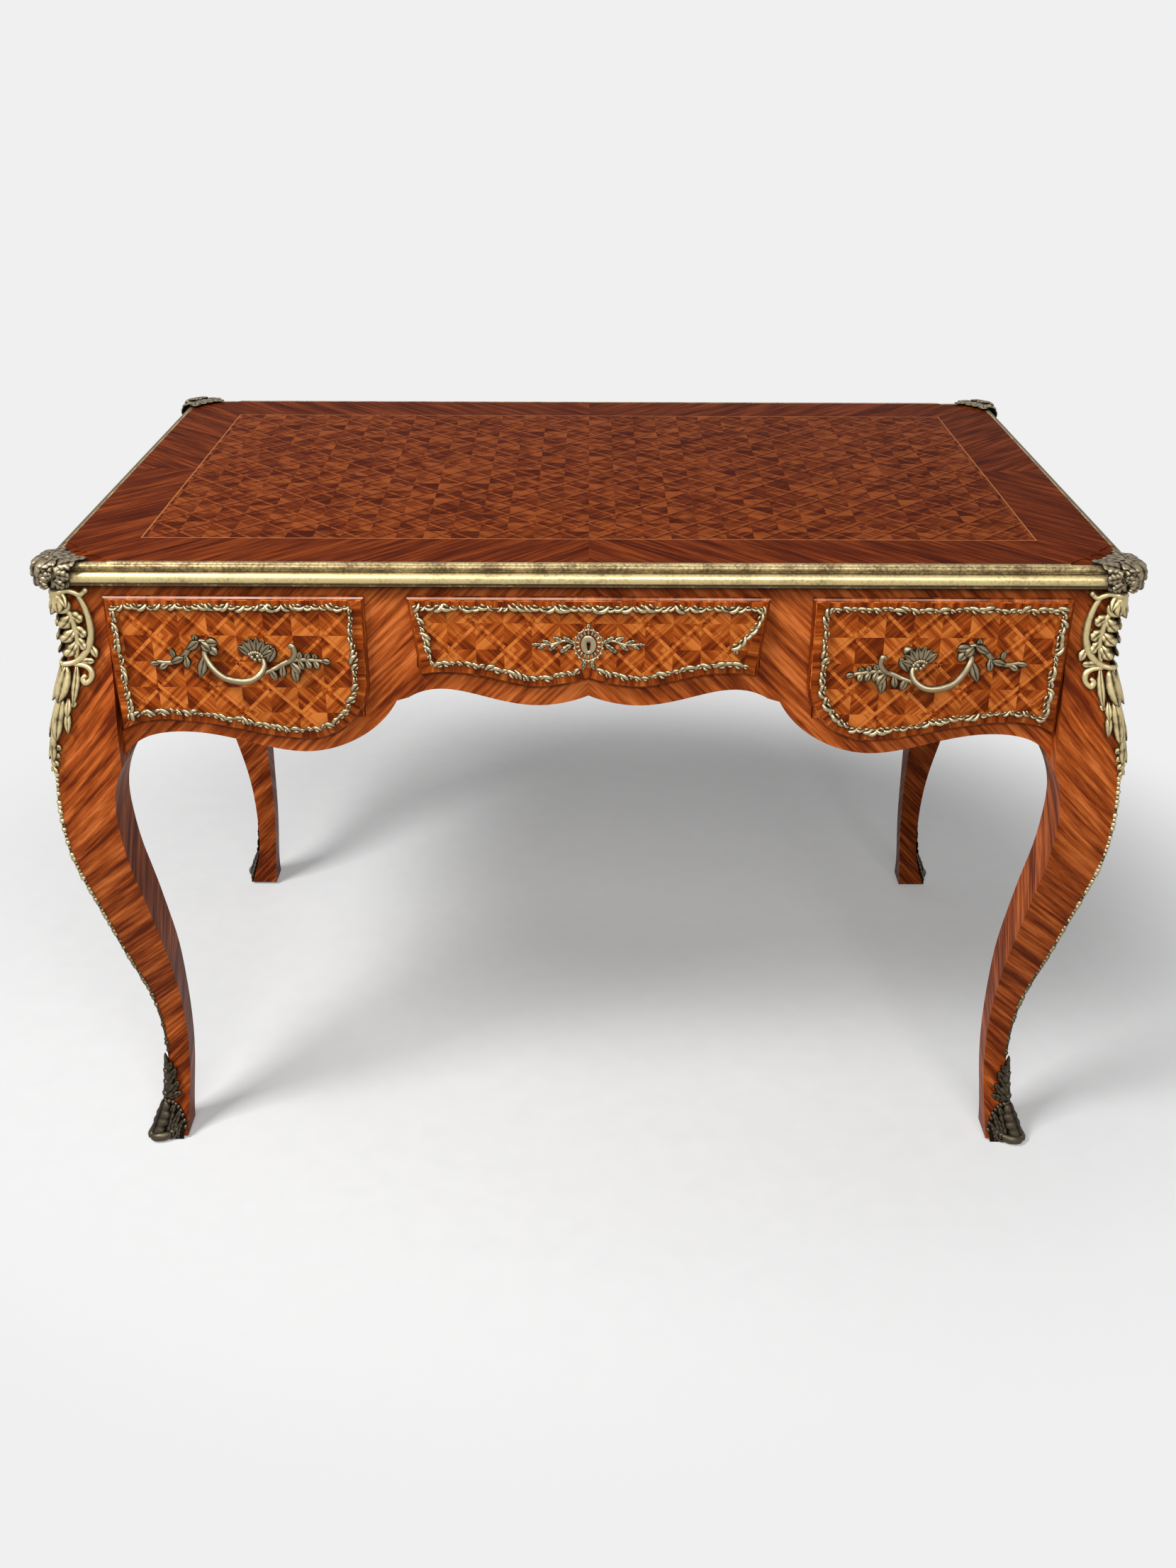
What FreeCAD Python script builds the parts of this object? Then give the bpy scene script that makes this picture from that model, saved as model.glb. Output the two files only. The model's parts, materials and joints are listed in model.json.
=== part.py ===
import FreeCAD, Part
import os
import re
from types import SimpleNamespace

from FreeCAD import Placement, Rotation, Vector

# Writing table with three drawers on cabriole legs. Millimetres, front towards -Y, floor at z = 0.
SIZES = {
    "table_height": 775,
    "top_length": 1136,
    "top_width": 700,
    "rim_height": 25,
    "rim_depth": 12,
    "top_overhang": 15,
    "post_width": 44,
    "side_swell": 31,
    "front_swell": 25,
    "ankle_set_in": 28,
    "sole_thickness": 4,
    "frame_thickness": 22,
    "apron_depth": 195,
    "top_rail_height": 19,
    "side_opening_depth": 153,
    "center_opening_depth": 95,
    "center_opening_width": 366,
    "divider_width": 59,
    "side_apron_wave": 24,
    "tenon_length": 20,
    "tenon_thickness": 8,
    "tenon_height": 22,
    "tenon_shoulder": 4,
    "partition_thickness": 18,
    "runner_height": 18,
    "runner_reach": 20,
    "guide_height": 20,
    "kicker_height": 17,
    "lip_thickness": 8,
    "lip_overlap": 7,
    "lip_rise": 6,
    "lip_side_gap": 2,
    "lip_wave": 26,
    "lip_round": 3,
    "front_thickness": 14,
    "running_gap": 0.3,
    "slide_clearance": 1,
    "drawer_depth": 460,
    "drawer_side_thickness": 10,
    "drawer_back_thickness": 10,
    "drawer_bottom_thickness": 6,
    "bottom_rise": 8,
    "groove_depth": 4,
    "back_drop": 5,
    "band_inset": 11,
    "band_spread": 5,
    "band_width": 7,
    "band_thickness": 3,
    "clasp_reach": 66,
    "clasp_rise": 5,
    "clasp_seat": 1,
    "knee_mount_height": 205,
    "knee_mount_width": 30,
    "knee_mount_stand": 6,
    "knee_mount_drop": 3,
    "edge_strip_stand": 2.5,
    "edge_strip_width": 6,
    "sabot_height": 122,
    "sabot_stand": 5,
    "toe_roll_radius": 9,
    "toe_roll_length": 22,
    "handle_drop": 98,
    "handle_end_gap": 26,
    "handle_bow_radius": 33,
    "handle_bow_section": 4.5,
    "handle_post_rise": 28,
    "handle_curl_radius": 13,
    "handle_leaf_height": 42,
    "handle_leaf_thickness": 5,
    "handle_post_radius": 3,
    "handle_post_clearance": 0.3,
    "nut_radius": 7,
    "nut_thickness": 5,
    "escutcheon_length": 120,
    "escutcheon_height": 36,
    "escutcheon_thickness": 3,
    "keyhole_drop": 64,
    "keyhole_radius": 2.8,
    "keyhole_slot_width": 2.6,
    "keyhole_slot_length": 7,
    "lock_width": 63,
    "lock_height": 54,
    "lock_depth": 9.5,
    "lock_wall": 1.5,
    "bolt_width": 36,
    "bolt_height": 14,
    "bolt_tongue_width": 24,
    "bolt_throw": 8,
    "overrun": 5,
}

doc = FreeCAD.newDocument("writing_table")
sheet = doc.addObject("Spreadsheet::Sheet", "Sizes")
for row, (name, value) in enumerate(SIZES.items(), 1):
    sheet.set(f"A{row}", name)
    sheet.set(f"B{row}", str(value))
    sheet.setAlias(f"B{row}", name)
doc.recompute()
S = SimpleNamespace(**{name: float(sheet.get(name)) for name in SIZES})

# Places that several pieces share, as expressions over the sheet and as numbers.
FRAME_TOP = "(table_height - rim_height)"
FRONT = "(-top_width / 2 + top_overhang)"
POST_OUTER_X = "(top_length / 2 - top_overhang)"
POST_INNER_X = "(top_length / 2 - top_overhang - post_width)"
POST_INNER_Y = "(top_width / 2 - top_overhang - post_width)"
CENTER_HALF = "(center_opening_width / 2)"
DIVIDER_OUTER = "(center_opening_width / 2 + divider_width)"
OPENING_TOP = "(table_height - rim_height - top_rail_height)"
SIDE_FLOOR = "(table_height - rim_height - side_opening_depth)"
CENTER_FLOOR = "(table_height - rim_height - center_opening_depth)"
LIP_OUTER = f"({POST_INNER_X} - lip_side_gap)"
LIP_INNER = f"({DIVIDER_OUTER} - lip_overlap)"
LIP_BACK = "(-top_width / 2 + top_overhang - running_gap)"
LIP_FRONT = "(-top_width / 2 + top_overhang - running_gap - lip_thickness)"
INSET_BACK = "(-top_width / 2 + top_overhang - running_gap + front_thickness)"
FRAME_INSIDE = "(top_width - 2 * top_overhang - 2 * frame_thickness)"
BOX_TOP = "(table_height - rim_height - top_rail_height - 2 * slide_clearance)"

frame_top = S.table_height - S.rim_height
front = -S.top_width / 2 + S.top_overhang
post_outer_x = S.top_length / 2 - S.top_overhang
post_outer_y = S.top_width / 2 - S.top_overhang
post_inner_x = post_outer_x - S.post_width
post_inner_y = post_outer_y - S.post_width
center_half = S.center_opening_width / 2
divider_outer = center_half + S.divider_width
opening_top = frame_top - S.top_rail_height
side_floor = frame_top - S.side_opening_depth
center_floor = frame_top - S.center_opening_depth
lip_outer = post_inner_x - S.lip_side_gap
lip_inner = divider_outer - S.lip_overlap

NORMAL_X = Vector(1, 0, 0)
NORMAL_Y = Vector(0, 1, 0)
NORMAL_Z = Vector(0, 0, 1)
pieces = []


def with_sheet(text):
    """The expression with the sheet's name before each of its sizes."""
    return re.sub(r"\b(" + "|".join(SIZES) + r")\b", r"Sizes.\1", text)


def keep(item, label):
    item.Label = label
    pieces.append(item)
    return item


def place(item, corner):
    for axis, text in zip("xyz", corner):
        item.setExpression("Placement.Base." + axis, with_sheet(text))


def board(name, corner, extent):
    item = doc.addObject("Part::Box", name)
    for side, text in zip(("Length", "Width", "Height"), extent):
        item.setExpression(side, with_sheet(text))
    place(item, corner)
    return item


def edges(runs):
    """Two points are a straight run, three an arc, more a smooth curve, closed if it ends where it began."""
    made = []
    for run in runs:
        points = [Vector(across, up, 0) for across, up in run]
        if len(points) == 2:
            made.append(Part.LineSegment(*points))
        elif len(points) == 3:
            made.append(Part.Arc(*points))
        else:
            ring = run[0] == run[-1]
            curve = Part.BSplineCurve()
            curve.interpolate(points[:-1] if ring else points, PeriodicFlag=ring)
            made.append(curve)
    return made


def closed(points):
    return list(zip(points, points[1:] + points[:1]))


def mirrored_points(points):
    return [(-across, up) for across, up in reversed(points)]


def slab(name, plane, wires, thickness, start):
    """A board sawn to an outline on one of its body's origin planes, its back face at start."""
    body = doc.addObject("PartDesign::Body", name)
    sketch = body.newObject("Sketcher::SketchObject", name + "_outline")
    support = next(item for item in body.Origin.OriginFeatures if item.Role == plane)
    sketch.AttachmentSupport = (support, [""])
    sketch.MapMode = "FlatFace"
    for runs in wires:
        sketch.addGeometry(edges(runs))
    pad = body.newObject("PartDesign::Pad", name + "_pad")
    pad.Profile = sketch
    pad.Reversed = plane == "XZ_Plane"
    pad.setExpression("Length", with_sheet(thickness))
    axis = {"XZ_Plane": "y", "YZ_Plane": "x", "XY_Plane": "z"}[plane]
    body.setExpression("Placement.Base." + axis, with_sheet(start))
    doc.recompute()
    return body


def joined(name, items):
    item = doc.addObject("Part::MultiFuse", name)
    item.Shapes = items
    return item


def welded(name, items):
    """Forms joined one after another, for curved forms that run into each other."""
    whole = items[0]
    for number, part in enumerate(items[1:], 1):
        step = doc.addObject("Part::Fuse", f"{name}_{number}")
        step.Base = whole
        step.Tool = part
        whole = step
    return whole


def cut(name, base, *tools):
    item = doc.addObject("Part::Cut", name)
    item.Base = base
    item.Tool = tools[0] if len(tools) == 1 else joined(name + "_tools", list(tools))
    return item


def common(name, *items):
    item = doc.addObject("Part::MultiCommon", name)
    item.Shapes = list(items)
    return item


def group(name, items):
    item = doc.addObject("Part::Compound", name)
    item.Links = items
    return item


def mirror(name, source, normal):
    item = doc.addObject("Part::Mirroring", name)
    item.Source = source
    item.Normal = normal
    return item


def four_corners(name, source):
    """The front left piece and its three mirror images."""
    keep(source, name + "_front_left")
    right = keep(mirror(name + "_front_right", source, NORMAL_X), name + "_front_right")
    keep(mirror(name + "_back_left", source, NORMAL_Y), name + "_back_left")
    keep(mirror(name + "_back_right", right, NORMAL_Y), name + "_back_right")


# Cabriole leg: one bandsaw pattern in front view, one in side view.
LEG_OUTER_SHARES = [
    (1.0, 0.0),
    (0.93, 0.01),
    (0.884, 0.09),
    (0.837, 0.34),
    (0.793, 0.63),
    (0.716, 0.92),
    (0.63, 1.0),
    (0.573, 0.88),
    (0.508, 0.56),
    (0.435, 0.145),
    (0.365, -0.257),
    (0.297, -0.69),
    (0.228, -0.95),
    (0.16, -1.0),
    (0.1, -0.9),
    (0.05, -0.62),
    (0.0, -0.14),
]
LEG_INNER_SHARES = [
    (0.0, 1.02),
    (0.06, 1.1),
    (0.115, 1.2),
    (0.19, 1.28),
    (0.291, 1.28),
    (0.363, 1.227),
    (0.431, 1.1),
    (0.497, 0.955),
    (0.56, 0.8),
    (0.62, 0.718),
    (0.673, 0.727),
    (0.725, 1.0),
]


def leg_outer(outer_face, swell, shift):
    run = []
    for height_share, swell_share in LEG_OUTER_SHARES:
        reach = swell if swell_share > 0 else S.ankle_set_in
        run.append((-outer_face - swell_share * reach + shift, height_share * frame_top))
    return run


def leg_pattern(outer_face, swell):
    outer = leg_outer(outer_face, swell, 0)
    inner = [(-outer_face + share * S.post_width, height * frame_top) for height, share in LEG_INNER_SHARES]
    corner = (-outer_face + S.post_width, frame_top)
    return [outer, [outer[-1], inner[0]], inner, [inner[-1], corner], [corner, outer[0]]]


LEG_SPAN = "(side_swell + front_swell + 2 * post_width)"
LEG_START_X = "(-top_length / 2 + top_overhang - side_swell - overrun)"
LEG_START_Y = "(-top_width / 2 + top_overhang - front_swell - overrun)"


def corner_cross(name, pattern):
    """The part of the front left corner inside a pattern's front view and its side view."""
    front_wire = pattern(post_outer_x, S.side_swell)
    side_wire = pattern(post_outer_y, S.front_swell)
    front_view = slab(name + "_front_view", "XZ_Plane", [front_wire], LEG_SPAN, LEG_START_Y)
    side_view = slab(name + "_side_view", "YZ_Plane", [side_wire], LEG_SPAN, LEG_START_X)
    return common(name, front_view, side_view)


leg_blank = corner_cross("leg_blank", leg_pattern)
sole_space = board(
    "sole_space",
    (LEG_START_X, LEG_START_Y, "-overrun"),
    (LEG_SPAN, LEG_SPAN, "sole_thickness + overrun"),
)

# Tenons at the front left post; the legs are mortised with the same boards.
TENON_X = f"(-{POST_INNER_X} - tenon_length)"
TENON_Y = f"({FRONT} + (frame_thickness - tenon_thickness) / 2)"
upper_tenon = board(
    "upper_tenon",
    (TENON_X, TENON_Y, f"{OPENING_TOP} + tenon_shoulder"),
    ("tenon_length", "tenon_thickness", "top_rail_height - 2 * tenon_shoulder"),
)
lower_tenon = board(
    "lower_tenon",
    (TENON_X, TENON_Y, f"{SIDE_FLOOR} - tenon_shoulder - tenon_height"),
    ("tenon_length", "tenon_thickness", "tenon_height"),
)
side_tenon = board(
    "side_tenon",
    (
        f"-{POST_OUTER_X} + (frame_thickness - tenon_thickness) / 2",
        f"-{POST_INNER_Y} - tenon_length",
        f"{SIDE_FLOOR} - tenon_shoulder - tenon_height",
    ),
    ("tenon_thickness", "tenon_length", "side_opening_depth - tenon_height"),
)
leg = cut("leg", leg_blank, sole_space, upper_tenon, lower_tenon, side_tenon)
four_corners("leg", leg)

# Front frame: one scalloped outline, split into rails and dividers.
APRON_SIDE_SHARES = [
    (0.0, 1.04),
    (0.04, 0.955),
    (0.2, 0.88),
    (0.424, 0.93),
    (0.679, 1.0),
    (0.87, 0.9),
    (1.0, 0.685),
]
APRON_CENTER_SHARES = [
    (0.0, 0.665),
    (0.18, 0.612),
    (0.45, 0.665),
    (0.72, 0.71),
    (0.9, 0.685),
    (1.0, 0.65),
]
STEP_SHARE = 0.41
LEDGE_SHARE = 0.19


def apron_outline():
    step = -center_half - STEP_SHARE * S.divider_width
    ledge = -center_half - LEDGE_SHARE * S.divider_width
    side = [
        (-post_inner_x + share * (step + post_inner_x), frame_top - depth * S.apron_depth)
        for share, depth in APRON_SIDE_SHARES
    ]
    middle = [
        (ledge - share * ledge, frame_top - depth * S.apron_depth)
        for share, depth in APRON_CENTER_SHARES
    ]
    corner = (post_inner_x, frame_top)
    lower = [side, [side[-1], middle[0]], middle]
    other = [mirrored_points(run) for run in reversed(lower)]
    return lower + other + [
        [other[-1][-1], corner],
        [corner, mirrored_points([corner])[0]],
        [mirrored_points([corner])[0], side[0]],
    ]


front_sheet = slab("front_sheet", "XZ_Plane", [apron_outline()], "frame_thickness", FRONT)
center_opening = board(
    "center_opening",
    (f"-{CENTER_HALF}", f"{FRONT} - overrun", CENTER_FLOOR),
    ("center_opening_width", "frame_thickness + 2 * overrun", f"{OPENING_TOP} - {CENTER_FLOOR}"),
)
left_opening = board(
    "left_opening",
    (f"-{POST_INNER_X} - overrun", f"{FRONT} - overrun", SIDE_FLOOR),
    (
        f"{POST_INNER_X} - {DIVIDER_OUTER} + overrun",
        "frame_thickness + 2 * overrun",
        f"{OPENING_TOP} - {SIDE_FLOOR}",
    ),
)
right_opening = mirror("right_opening", left_opening, NORMAL_X)
front_frame = cut("front_frame", front_sheet, center_opening, left_opening, right_opening)


def frame_region(name, left, right, low, high):
    return board(
        name,
        (left, f"{FRONT} - overrun", low),
        (f"{right} - {left}", "frame_thickness + 2 * overrun", f"{high} - {low}"),
    )


top_region = frame_region("top_region", f"(-{POST_INNER_X})", POST_INNER_X, OPENING_TOP, FRAME_TOP)
divider_region = frame_region("divider_region", f"(-{DIVIDER_OUTER})", f"(-{CENTER_HALF})", "0", OPENING_TOP)
side_region = frame_region("side_region", f"(-{POST_INNER_X})", f"(-{DIVIDER_OUTER})", "0", OPENING_TOP)
center_region = frame_region("center_region", f"(-{CENTER_HALF})", CENTER_HALF, "0", OPENING_TOP)

# The lock bolt shoots into a mortise in the top rail.
BOLT_Y = f"({INSET_BACK} - lock_depth + lock_wall + running_gap)"
BOLT_THICKNESS = "(lock_depth - 2 * lock_wall - 2 * running_gap)"
bolt_mortise = board(
    "bolt_mortise",
    (
        "-bolt_tongue_width / 2 - slide_clearance",
        f"{BOLT_Y} - slide_clearance",
        f"{OPENING_TOP} - overrun",
    ),
    (
        "bolt_tongue_width + 2 * slide_clearance",
        f"{BOLT_THICKNESS} + 2 * slide_clearance",
        "bolt_throw + slide_clearance + overrun",
    ),
)
top_rail = joined(
    "top_rail",
    [
        common("top_rail_bar", front_frame, top_region),
        upper_tenon,
        mirror("upper_tenon_right", upper_tenon, NORMAL_X),
    ],
)
keep(cut("front_top_rail", top_rail, bolt_mortise), "front_top_rail")
divider = keep(common("front_divider_left", front_frame, divider_region), "front_divider_left")
keep(mirror("front_divider_right", divider, NORMAL_X), "front_divider_right")
side_rail = keep(
    joined("front_rail_left", [common("front_rail_bar", front_frame, side_region), lower_tenon]),
    "front_rail_left",
)
keep(mirror("front_rail_right", side_rail, NORMAL_X), "front_rail_right")
keep(common("front_rail_center", front_frame, center_region), "front_rail_center")

# Back apron: the same outline, closed.
BACK_INNER = "(top_width / 2 - top_overhang - frame_thickness)"
back_sheet = slab("back_sheet", "XZ_Plane", [apron_outline()], "frame_thickness", BACK_INNER)
back_tenons = [mirror(item.Name + "_back", item, NORMAL_Y) for item in (upper_tenon, lower_tenon)]
back_tenons += [mirror(item.Name + "_right", item, NORMAL_X) for item in back_tenons]
keep(joined("back_apron", [back_sheet] + back_tenons), "back_apron")

# Side aprons: a serpentine lower edge between the posts.
SIDE_APRON_SHARES = [(0.0, 1.04), (0.042, 0.955), (0.2, 0.88), (0.44, 0.92)]
SIDE_WAVE_SHARES = [(0.7, 1.0), (0.88, 0.72), (1.0, 0.42)]


def side_outline():
    arch_depth = SIDE_APRON_SHARES[2][1] * S.apron_depth
    half = [
        (-post_inner_y + share * post_inner_y, frame_top - depth * S.apron_depth)
        for share, depth in SIDE_APRON_SHARES
    ]
    half += [
        (-post_inner_y + share * post_inner_y, frame_top - arch_depth - wave * S.side_apron_wave)
        for share, wave in SIDE_WAVE_SHARES
    ]
    other = mirrored_points(half)
    corners = [(post_inner_y, frame_top), (-post_inner_y, frame_top)]
    return [half, other, [other[-1], corners[0]], corners, [corners[1], half[0]]]


side_sheet = slab("side_sheet", "YZ_Plane", [side_outline()], "frame_thickness", f"-{POST_OUTER_X}")
side_apron = keep(
    joined("side_apron_left", [side_sheet, side_tenon, mirror("side_tenon_back", side_tenon, NORMAL_Y)]),
    "side_apron_left",
)
keep(mirror("side_apron_right", side_apron, NORMAL_X), "side_apron_right")

# Partition between a side drawer and the centre drawer, with a ledge for each to run on.
web_inner = divider_outer - S.partition_thickness
left_ledge = divider_outer + S.runner_reach
right_ledge = center_half - S.runner_reach
kicker_low = frame_top - S.kicker_height
partition_points = [
    (-left_ledge, side_floor - S.runner_height),
    (-left_ledge, side_floor),
    (-divider_outer, side_floor),
    (-divider_outer, kicker_low),
    (-left_ledge, kicker_low),
    (-left_ledge, frame_top),
    (-right_ledge, frame_top),
    (-right_ledge, kicker_low),
    (-web_inner, kicker_low),
    (-web_inner, center_floor + S.guide_height),
    (-center_half, center_floor + S.guide_height),
    (-center_half, center_floor),
    (-right_ledge, center_floor),
    (-right_ledge, center_floor - S.runner_height),
    (-web_inner, center_floor - S.runner_height),
    (-web_inner, side_floor),
    (-divider_outer, side_floor - S.runner_height),
]
partition = slab(
    "partition_left",
    "XZ_Plane",
    [closed(partition_points)],
    FRAME_INSIDE,
    f"{FRONT} + frame_thickness",
)
keep(partition, "partition_left")
keep(mirror("partition_right", partition, NORMAL_X), "partition_right")

apron_inner_x = post_outer_x - S.frame_thickness
outer_runner_points = [
    (-apron_inner_x, side_floor - S.runner_height),
    (-apron_inner_x, side_floor + S.guide_height),
    (-post_inner_x, side_floor + S.guide_height),
    (-post_inner_x, side_floor),
    (-post_inner_x + S.runner_reach, side_floor),
    (-post_inner_x + S.runner_reach, side_floor - S.runner_height),
]
outer_runner = slab(
    "outer_runner_left",
    "XZ_Plane",
    [closed(outer_runner_points)],
    f"2 * {POST_INNER_Y}",
    f"-{POST_INNER_Y}",
)
outer_runners = [outer_runner, mirror("outer_runner_right", outer_runner, NORMAL_X)]
keep(group("outer_runners", outer_runners), "outer_runners")

# Corner clasps: scalloped in plan, let into the top, and standing outside the rim.
CLASP_OUTER_SHARES = [
    (1.0, -0.06),
    (0.55, -0.075),
    (0.14, -0.15),
    (-0.12, -0.12),
    (-0.15, 0.14),
    (-0.075, 0.55),
    (-0.06, 1.0),
]
CLASP_LOBE_SHARES = [
    [(-0.06, 1.0), (0.14, 1.08), (0.32, 0.94)],
    [(0.32, 0.94), (0.45, 0.77), (0.38, 0.58)],
    [(0.38, 0.58), (0.62, 0.62), (0.58, 0.38)],
    [(0.58, 0.38), (0.77, 0.45), (0.94, 0.32)],
    [(0.94, 0.32), (1.08, 0.14), (1.0, -0.06)],
]


def clasp_outline():
    return [
        [(-S.top_length / 2 + a * S.clasp_reach, -S.top_width / 2 + b * S.clasp_reach) for a, b in run]
        for run in [CLASP_OUTER_SHARES] + CLASP_LOBE_SHARES
    ]


SEAT_LEVEL = "(table_height - clasp_seat)"
clasp_block = slab("clasp_block", "XY_Plane", [clasp_outline()], "rim_height + clasp_rise", FRAME_TOP)
rim_envelope = board(
    "rim_envelope",
    ("-top_length / 2 - running_gap", "-top_width / 2 - running_gap", f"{FRAME_TOP} - overrun"),
    ("top_length / 2", "top_width / 2", "rim_height - clasp_seat + overrun"),
)
four_corners("clasp", cut("clasp", clasp_block, rim_envelope))
clasp_seat = slab("clasp_seat_space", "XY_Plane", [clasp_outline()], "clasp_seat + overrun", SEAT_LEVEL)
seat_right = mirror("clasp_seat_right", clasp_seat, NORMAL_X)
front_seats = joined("front_seats", [clasp_seat, seat_right])
clasp_seats = joined("clasp_seats", [front_seats, mirror("back_seats", front_seats, NORMAL_Y)])

# Top panel and the moulded rim round it, mitred at the corners.
top_board = board(
    "top_board",
    ("-top_length / 2 + rim_depth", "-top_width / 2 + rim_depth", FRAME_TOP),
    ("top_length - 2 * rim_depth", "top_width - 2 * rim_depth", "rim_height"),
)
keep(cut("top_panel", top_board, clasp_seats), "top_panel")

RIM_SHARES = [
    [(0.0, 0.0), (0.5, 0.0)],
    [(0.5, 0.0), (0.5, 0.08)],
    [(0.5, 0.08), (0.72, 0.12)],
    [(0.72, 0.12), (1.0, 0.36), (0.72, 0.6)],
    [(0.72, 0.6), (0.45, 0.64)],
    [(0.45, 0.64), (0.45, 0.72)],
    [(0.45, 0.72), (0.68, 0.84), (0.45, 0.95)],
    [(0.45, 0.95), (0.38, 1.0)],
    [(0.38, 1.0), (0.0, 1.0)],
    [(0.0, 1.0), (0.0, 0.0)],
]


def rim_section(panel_edge):
    return [
        [(-panel_edge - out * S.rim_depth, frame_top + up * S.rim_height) for out, up in run]
        for run in RIM_SHARES
    ]


def mitre_space(name, turn, inward):
    """Wedge beyond the front left mitre; inward is how far its corner lies inside the panel's edge."""
    item = board(
        name,
        (
            f"-top_length / 2 + {inward} * rim_depth",
            f"-top_width / 2 + {inward} * rim_depth",
            f"{FRAME_TOP} - overrun",
        ),
        ("6 * rim_depth", "3 * rim_depth", "rim_height + 2 * overrun"),
    )
    item.Placement = Placement(item.Placement.Base, Rotation(NORMAL_Z, turn))
    return item


front_section = rim_section(S.top_width / 2 - S.rim_depth)
side_section = rim_section(S.top_length / 2 - S.rim_depth)
front_bar = slab("front_bar", "YZ_Plane", [front_section], "top_length", "-top_length / 2")
side_bar = slab("side_bar", "XZ_Plane", [side_section], "top_width", "-top_width / 2")
front_mitre = mitre_space("front_mitre", 45, "(-1)")
side_mitre = mitre_space("side_mitre", 225, "3")
front_mitres = [front_mitre, mirror("front_mitre_right", front_mitre, NORMAL_X)]
side_mitres = [side_mitre, mirror("side_mitre_back", side_mitre, NORMAL_Y)]
rim_front = cut("rim_front", front_bar, *front_mitres, clasp_seats)
rim_left = cut("rim_left", side_bar, *side_mitres, clasp_seats)
keep(rim_front, "rim_front")
keep(mirror("rim_back", rim_front, NORMAL_Y), "rim_back")
keep(rim_left, "rim_left")
keep(mirror("rim_right", rim_left, NORMAL_X), "rim_right")


# Mounts on the leg corner: the leg moved outwards by the mount's thickness, less the leg.
def stood_off(name, stand):
    item = group(name, [leg_blank])
    place(item, ("-" + stand, "-" + stand, "0"))
    return item


def flange_wire(outer_face, swell, inner):
    """From the mount's inner edge curve out past the leg corner."""
    outside = -outer_face - 2 * swell
    ends = [(outside, inner[-1][1]), (outside, inner[0][1])]
    return [inner, [inner[-1], ends[0]], ends, [ends[1], inner[0]]]


KNEE_SHARES = [
    (0.0, 0.8),
    (0.06, 0.95),
    (0.2, 0.78),
    (0.33, 0.95),
    (0.45, 0.58),
    (0.53, 0.62),
    (0.67, 0.13),
    (0.83, -0.27),
    (1.0, -0.58),
]


def knee_wire(outer_face, swell):
    top = frame_top - S.knee_mount_drop
    inner = [
        (-outer_face + across * S.knee_mount_width, top - down * S.knee_mount_height)
        for down, across in KNEE_SHARES
    ]
    return flange_wire(outer_face, swell, inner)


knee_region = corner_cross("knee_region", knee_wire)
knee_shell = common("knee_shell", stood_off("knee_envelope", "knee_mount_stand"), knee_region)
four_corners("knee_mount", cut("knee_mount", knee_shell, leg_blank))

SABOT_SHARES = [(0.0, 1.7), (0.2, 1.7), (0.36, 1.36), (0.55, 1.08), (0.78, 0.92), (1.0, 0.84)]


def sabot_wire(outer_face, swell):
    inner = [
        (-outer_face + across * S.post_width, up * S.sabot_height)
        for up, across in SABOT_SHARES
    ]
    return flange_wire(outer_face, swell, inner)


sabot_region = corner_cross("sabot_region", sabot_wire)
toe_roll = doc.addObject("Part::Cylinder", "toe_roll")
toe_roll.setExpression("Radius", with_sheet("toe_roll_radius"))
toe_roll.setExpression("Height", with_sheet("toe_roll_length"))
toe_roll.Placement = Placement(Vector(), Rotation(NORMAL_Z, Vector(1, -1, 0)))
place(
    toe_roll,
    (
        f"-{POST_OUTER_X} + ankle_set_in / 2 - toe_roll_length / sqrt(8)",
        f"{FRONT} + ankle_set_in / 2 + toe_roll_length / sqrt(8)",
        "toe_roll_radius",
    ),
)
sabot_envelope = joined("sabot_envelope", [leg_blank, stood_off("sabot_stand_off", "sabot_stand"), toe_roll])
sabot_shell = common("sabot_shell", sabot_envelope, sabot_region)
four_corners("sabot", cut("sabot", sabot_shell, leg))


def strip_wire(outer_face, swell):
    return flange_wire(outer_face, swell, leg_outer(outer_face, swell, S.edge_strip_width))


strip_region = corner_cross("strip_region", strip_wire)
strip_height = board(
    "strip_height",
    (LEG_START_X, LEG_START_Y, "sabot_height"),
    (LEG_SPAN, LEG_SPAN, f"{FRAME_TOP} - knee_mount_drop - knee_mount_height - sabot_height"),
)
strip_envelope = stood_off("strip_envelope", "edge_strip_stand")
strip_shell = common("strip_shell", strip_envelope, strip_region, strip_height)
edge_strip = cut("edge_strip", strip_shell, leg_blank)
edge_strip_right = mirror("edge_strip_right", edge_strip, NORMAL_X)
back_strips = [
    mirror("edge_strip_back_left", edge_strip, NORMAL_Y),
    mirror("edge_strip_back_right", edge_strip_right, NORMAL_Y),
]
keep(group("leg_edge_strips", [edge_strip, edge_strip_right] + back_strips), "leg_edge_strips")


# Drawer fronts: each outline can be drawn inset, so the band follows the edge, and spread towards its upper corners.
SIDE_LIP_SHARES = [
    (0.0, 0.62, 1.0, 1.35),
    (0.085, 0.2, 0.3, 1.0),
    (0.23, 0.12, 0.05, 1.0),
    (0.445, 0.45, 0.2, 1.0),
    (0.69, 0.92, 0.1, 1.0),
    (0.82, 0.82, -0.25, 1.0),
    (0.93, 0.08, -0.75, 0.75),
    (1.0, -1.75, -1.0, 0.2),
]
CENTER_LIP_SHARES = [
    (0.945, 0.23, 1.0, 1.0),
    (0.766, 0.15, 0.1, 1.0),
    (0.527, 0.42, 0.2, 1.0),
    (0.29, 0.77, 0.0, 1.0),
    (0.12, 0.62, -0.25, 1.0),
    (0.0, 0.38, 0.0, 1.0),
]


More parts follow.
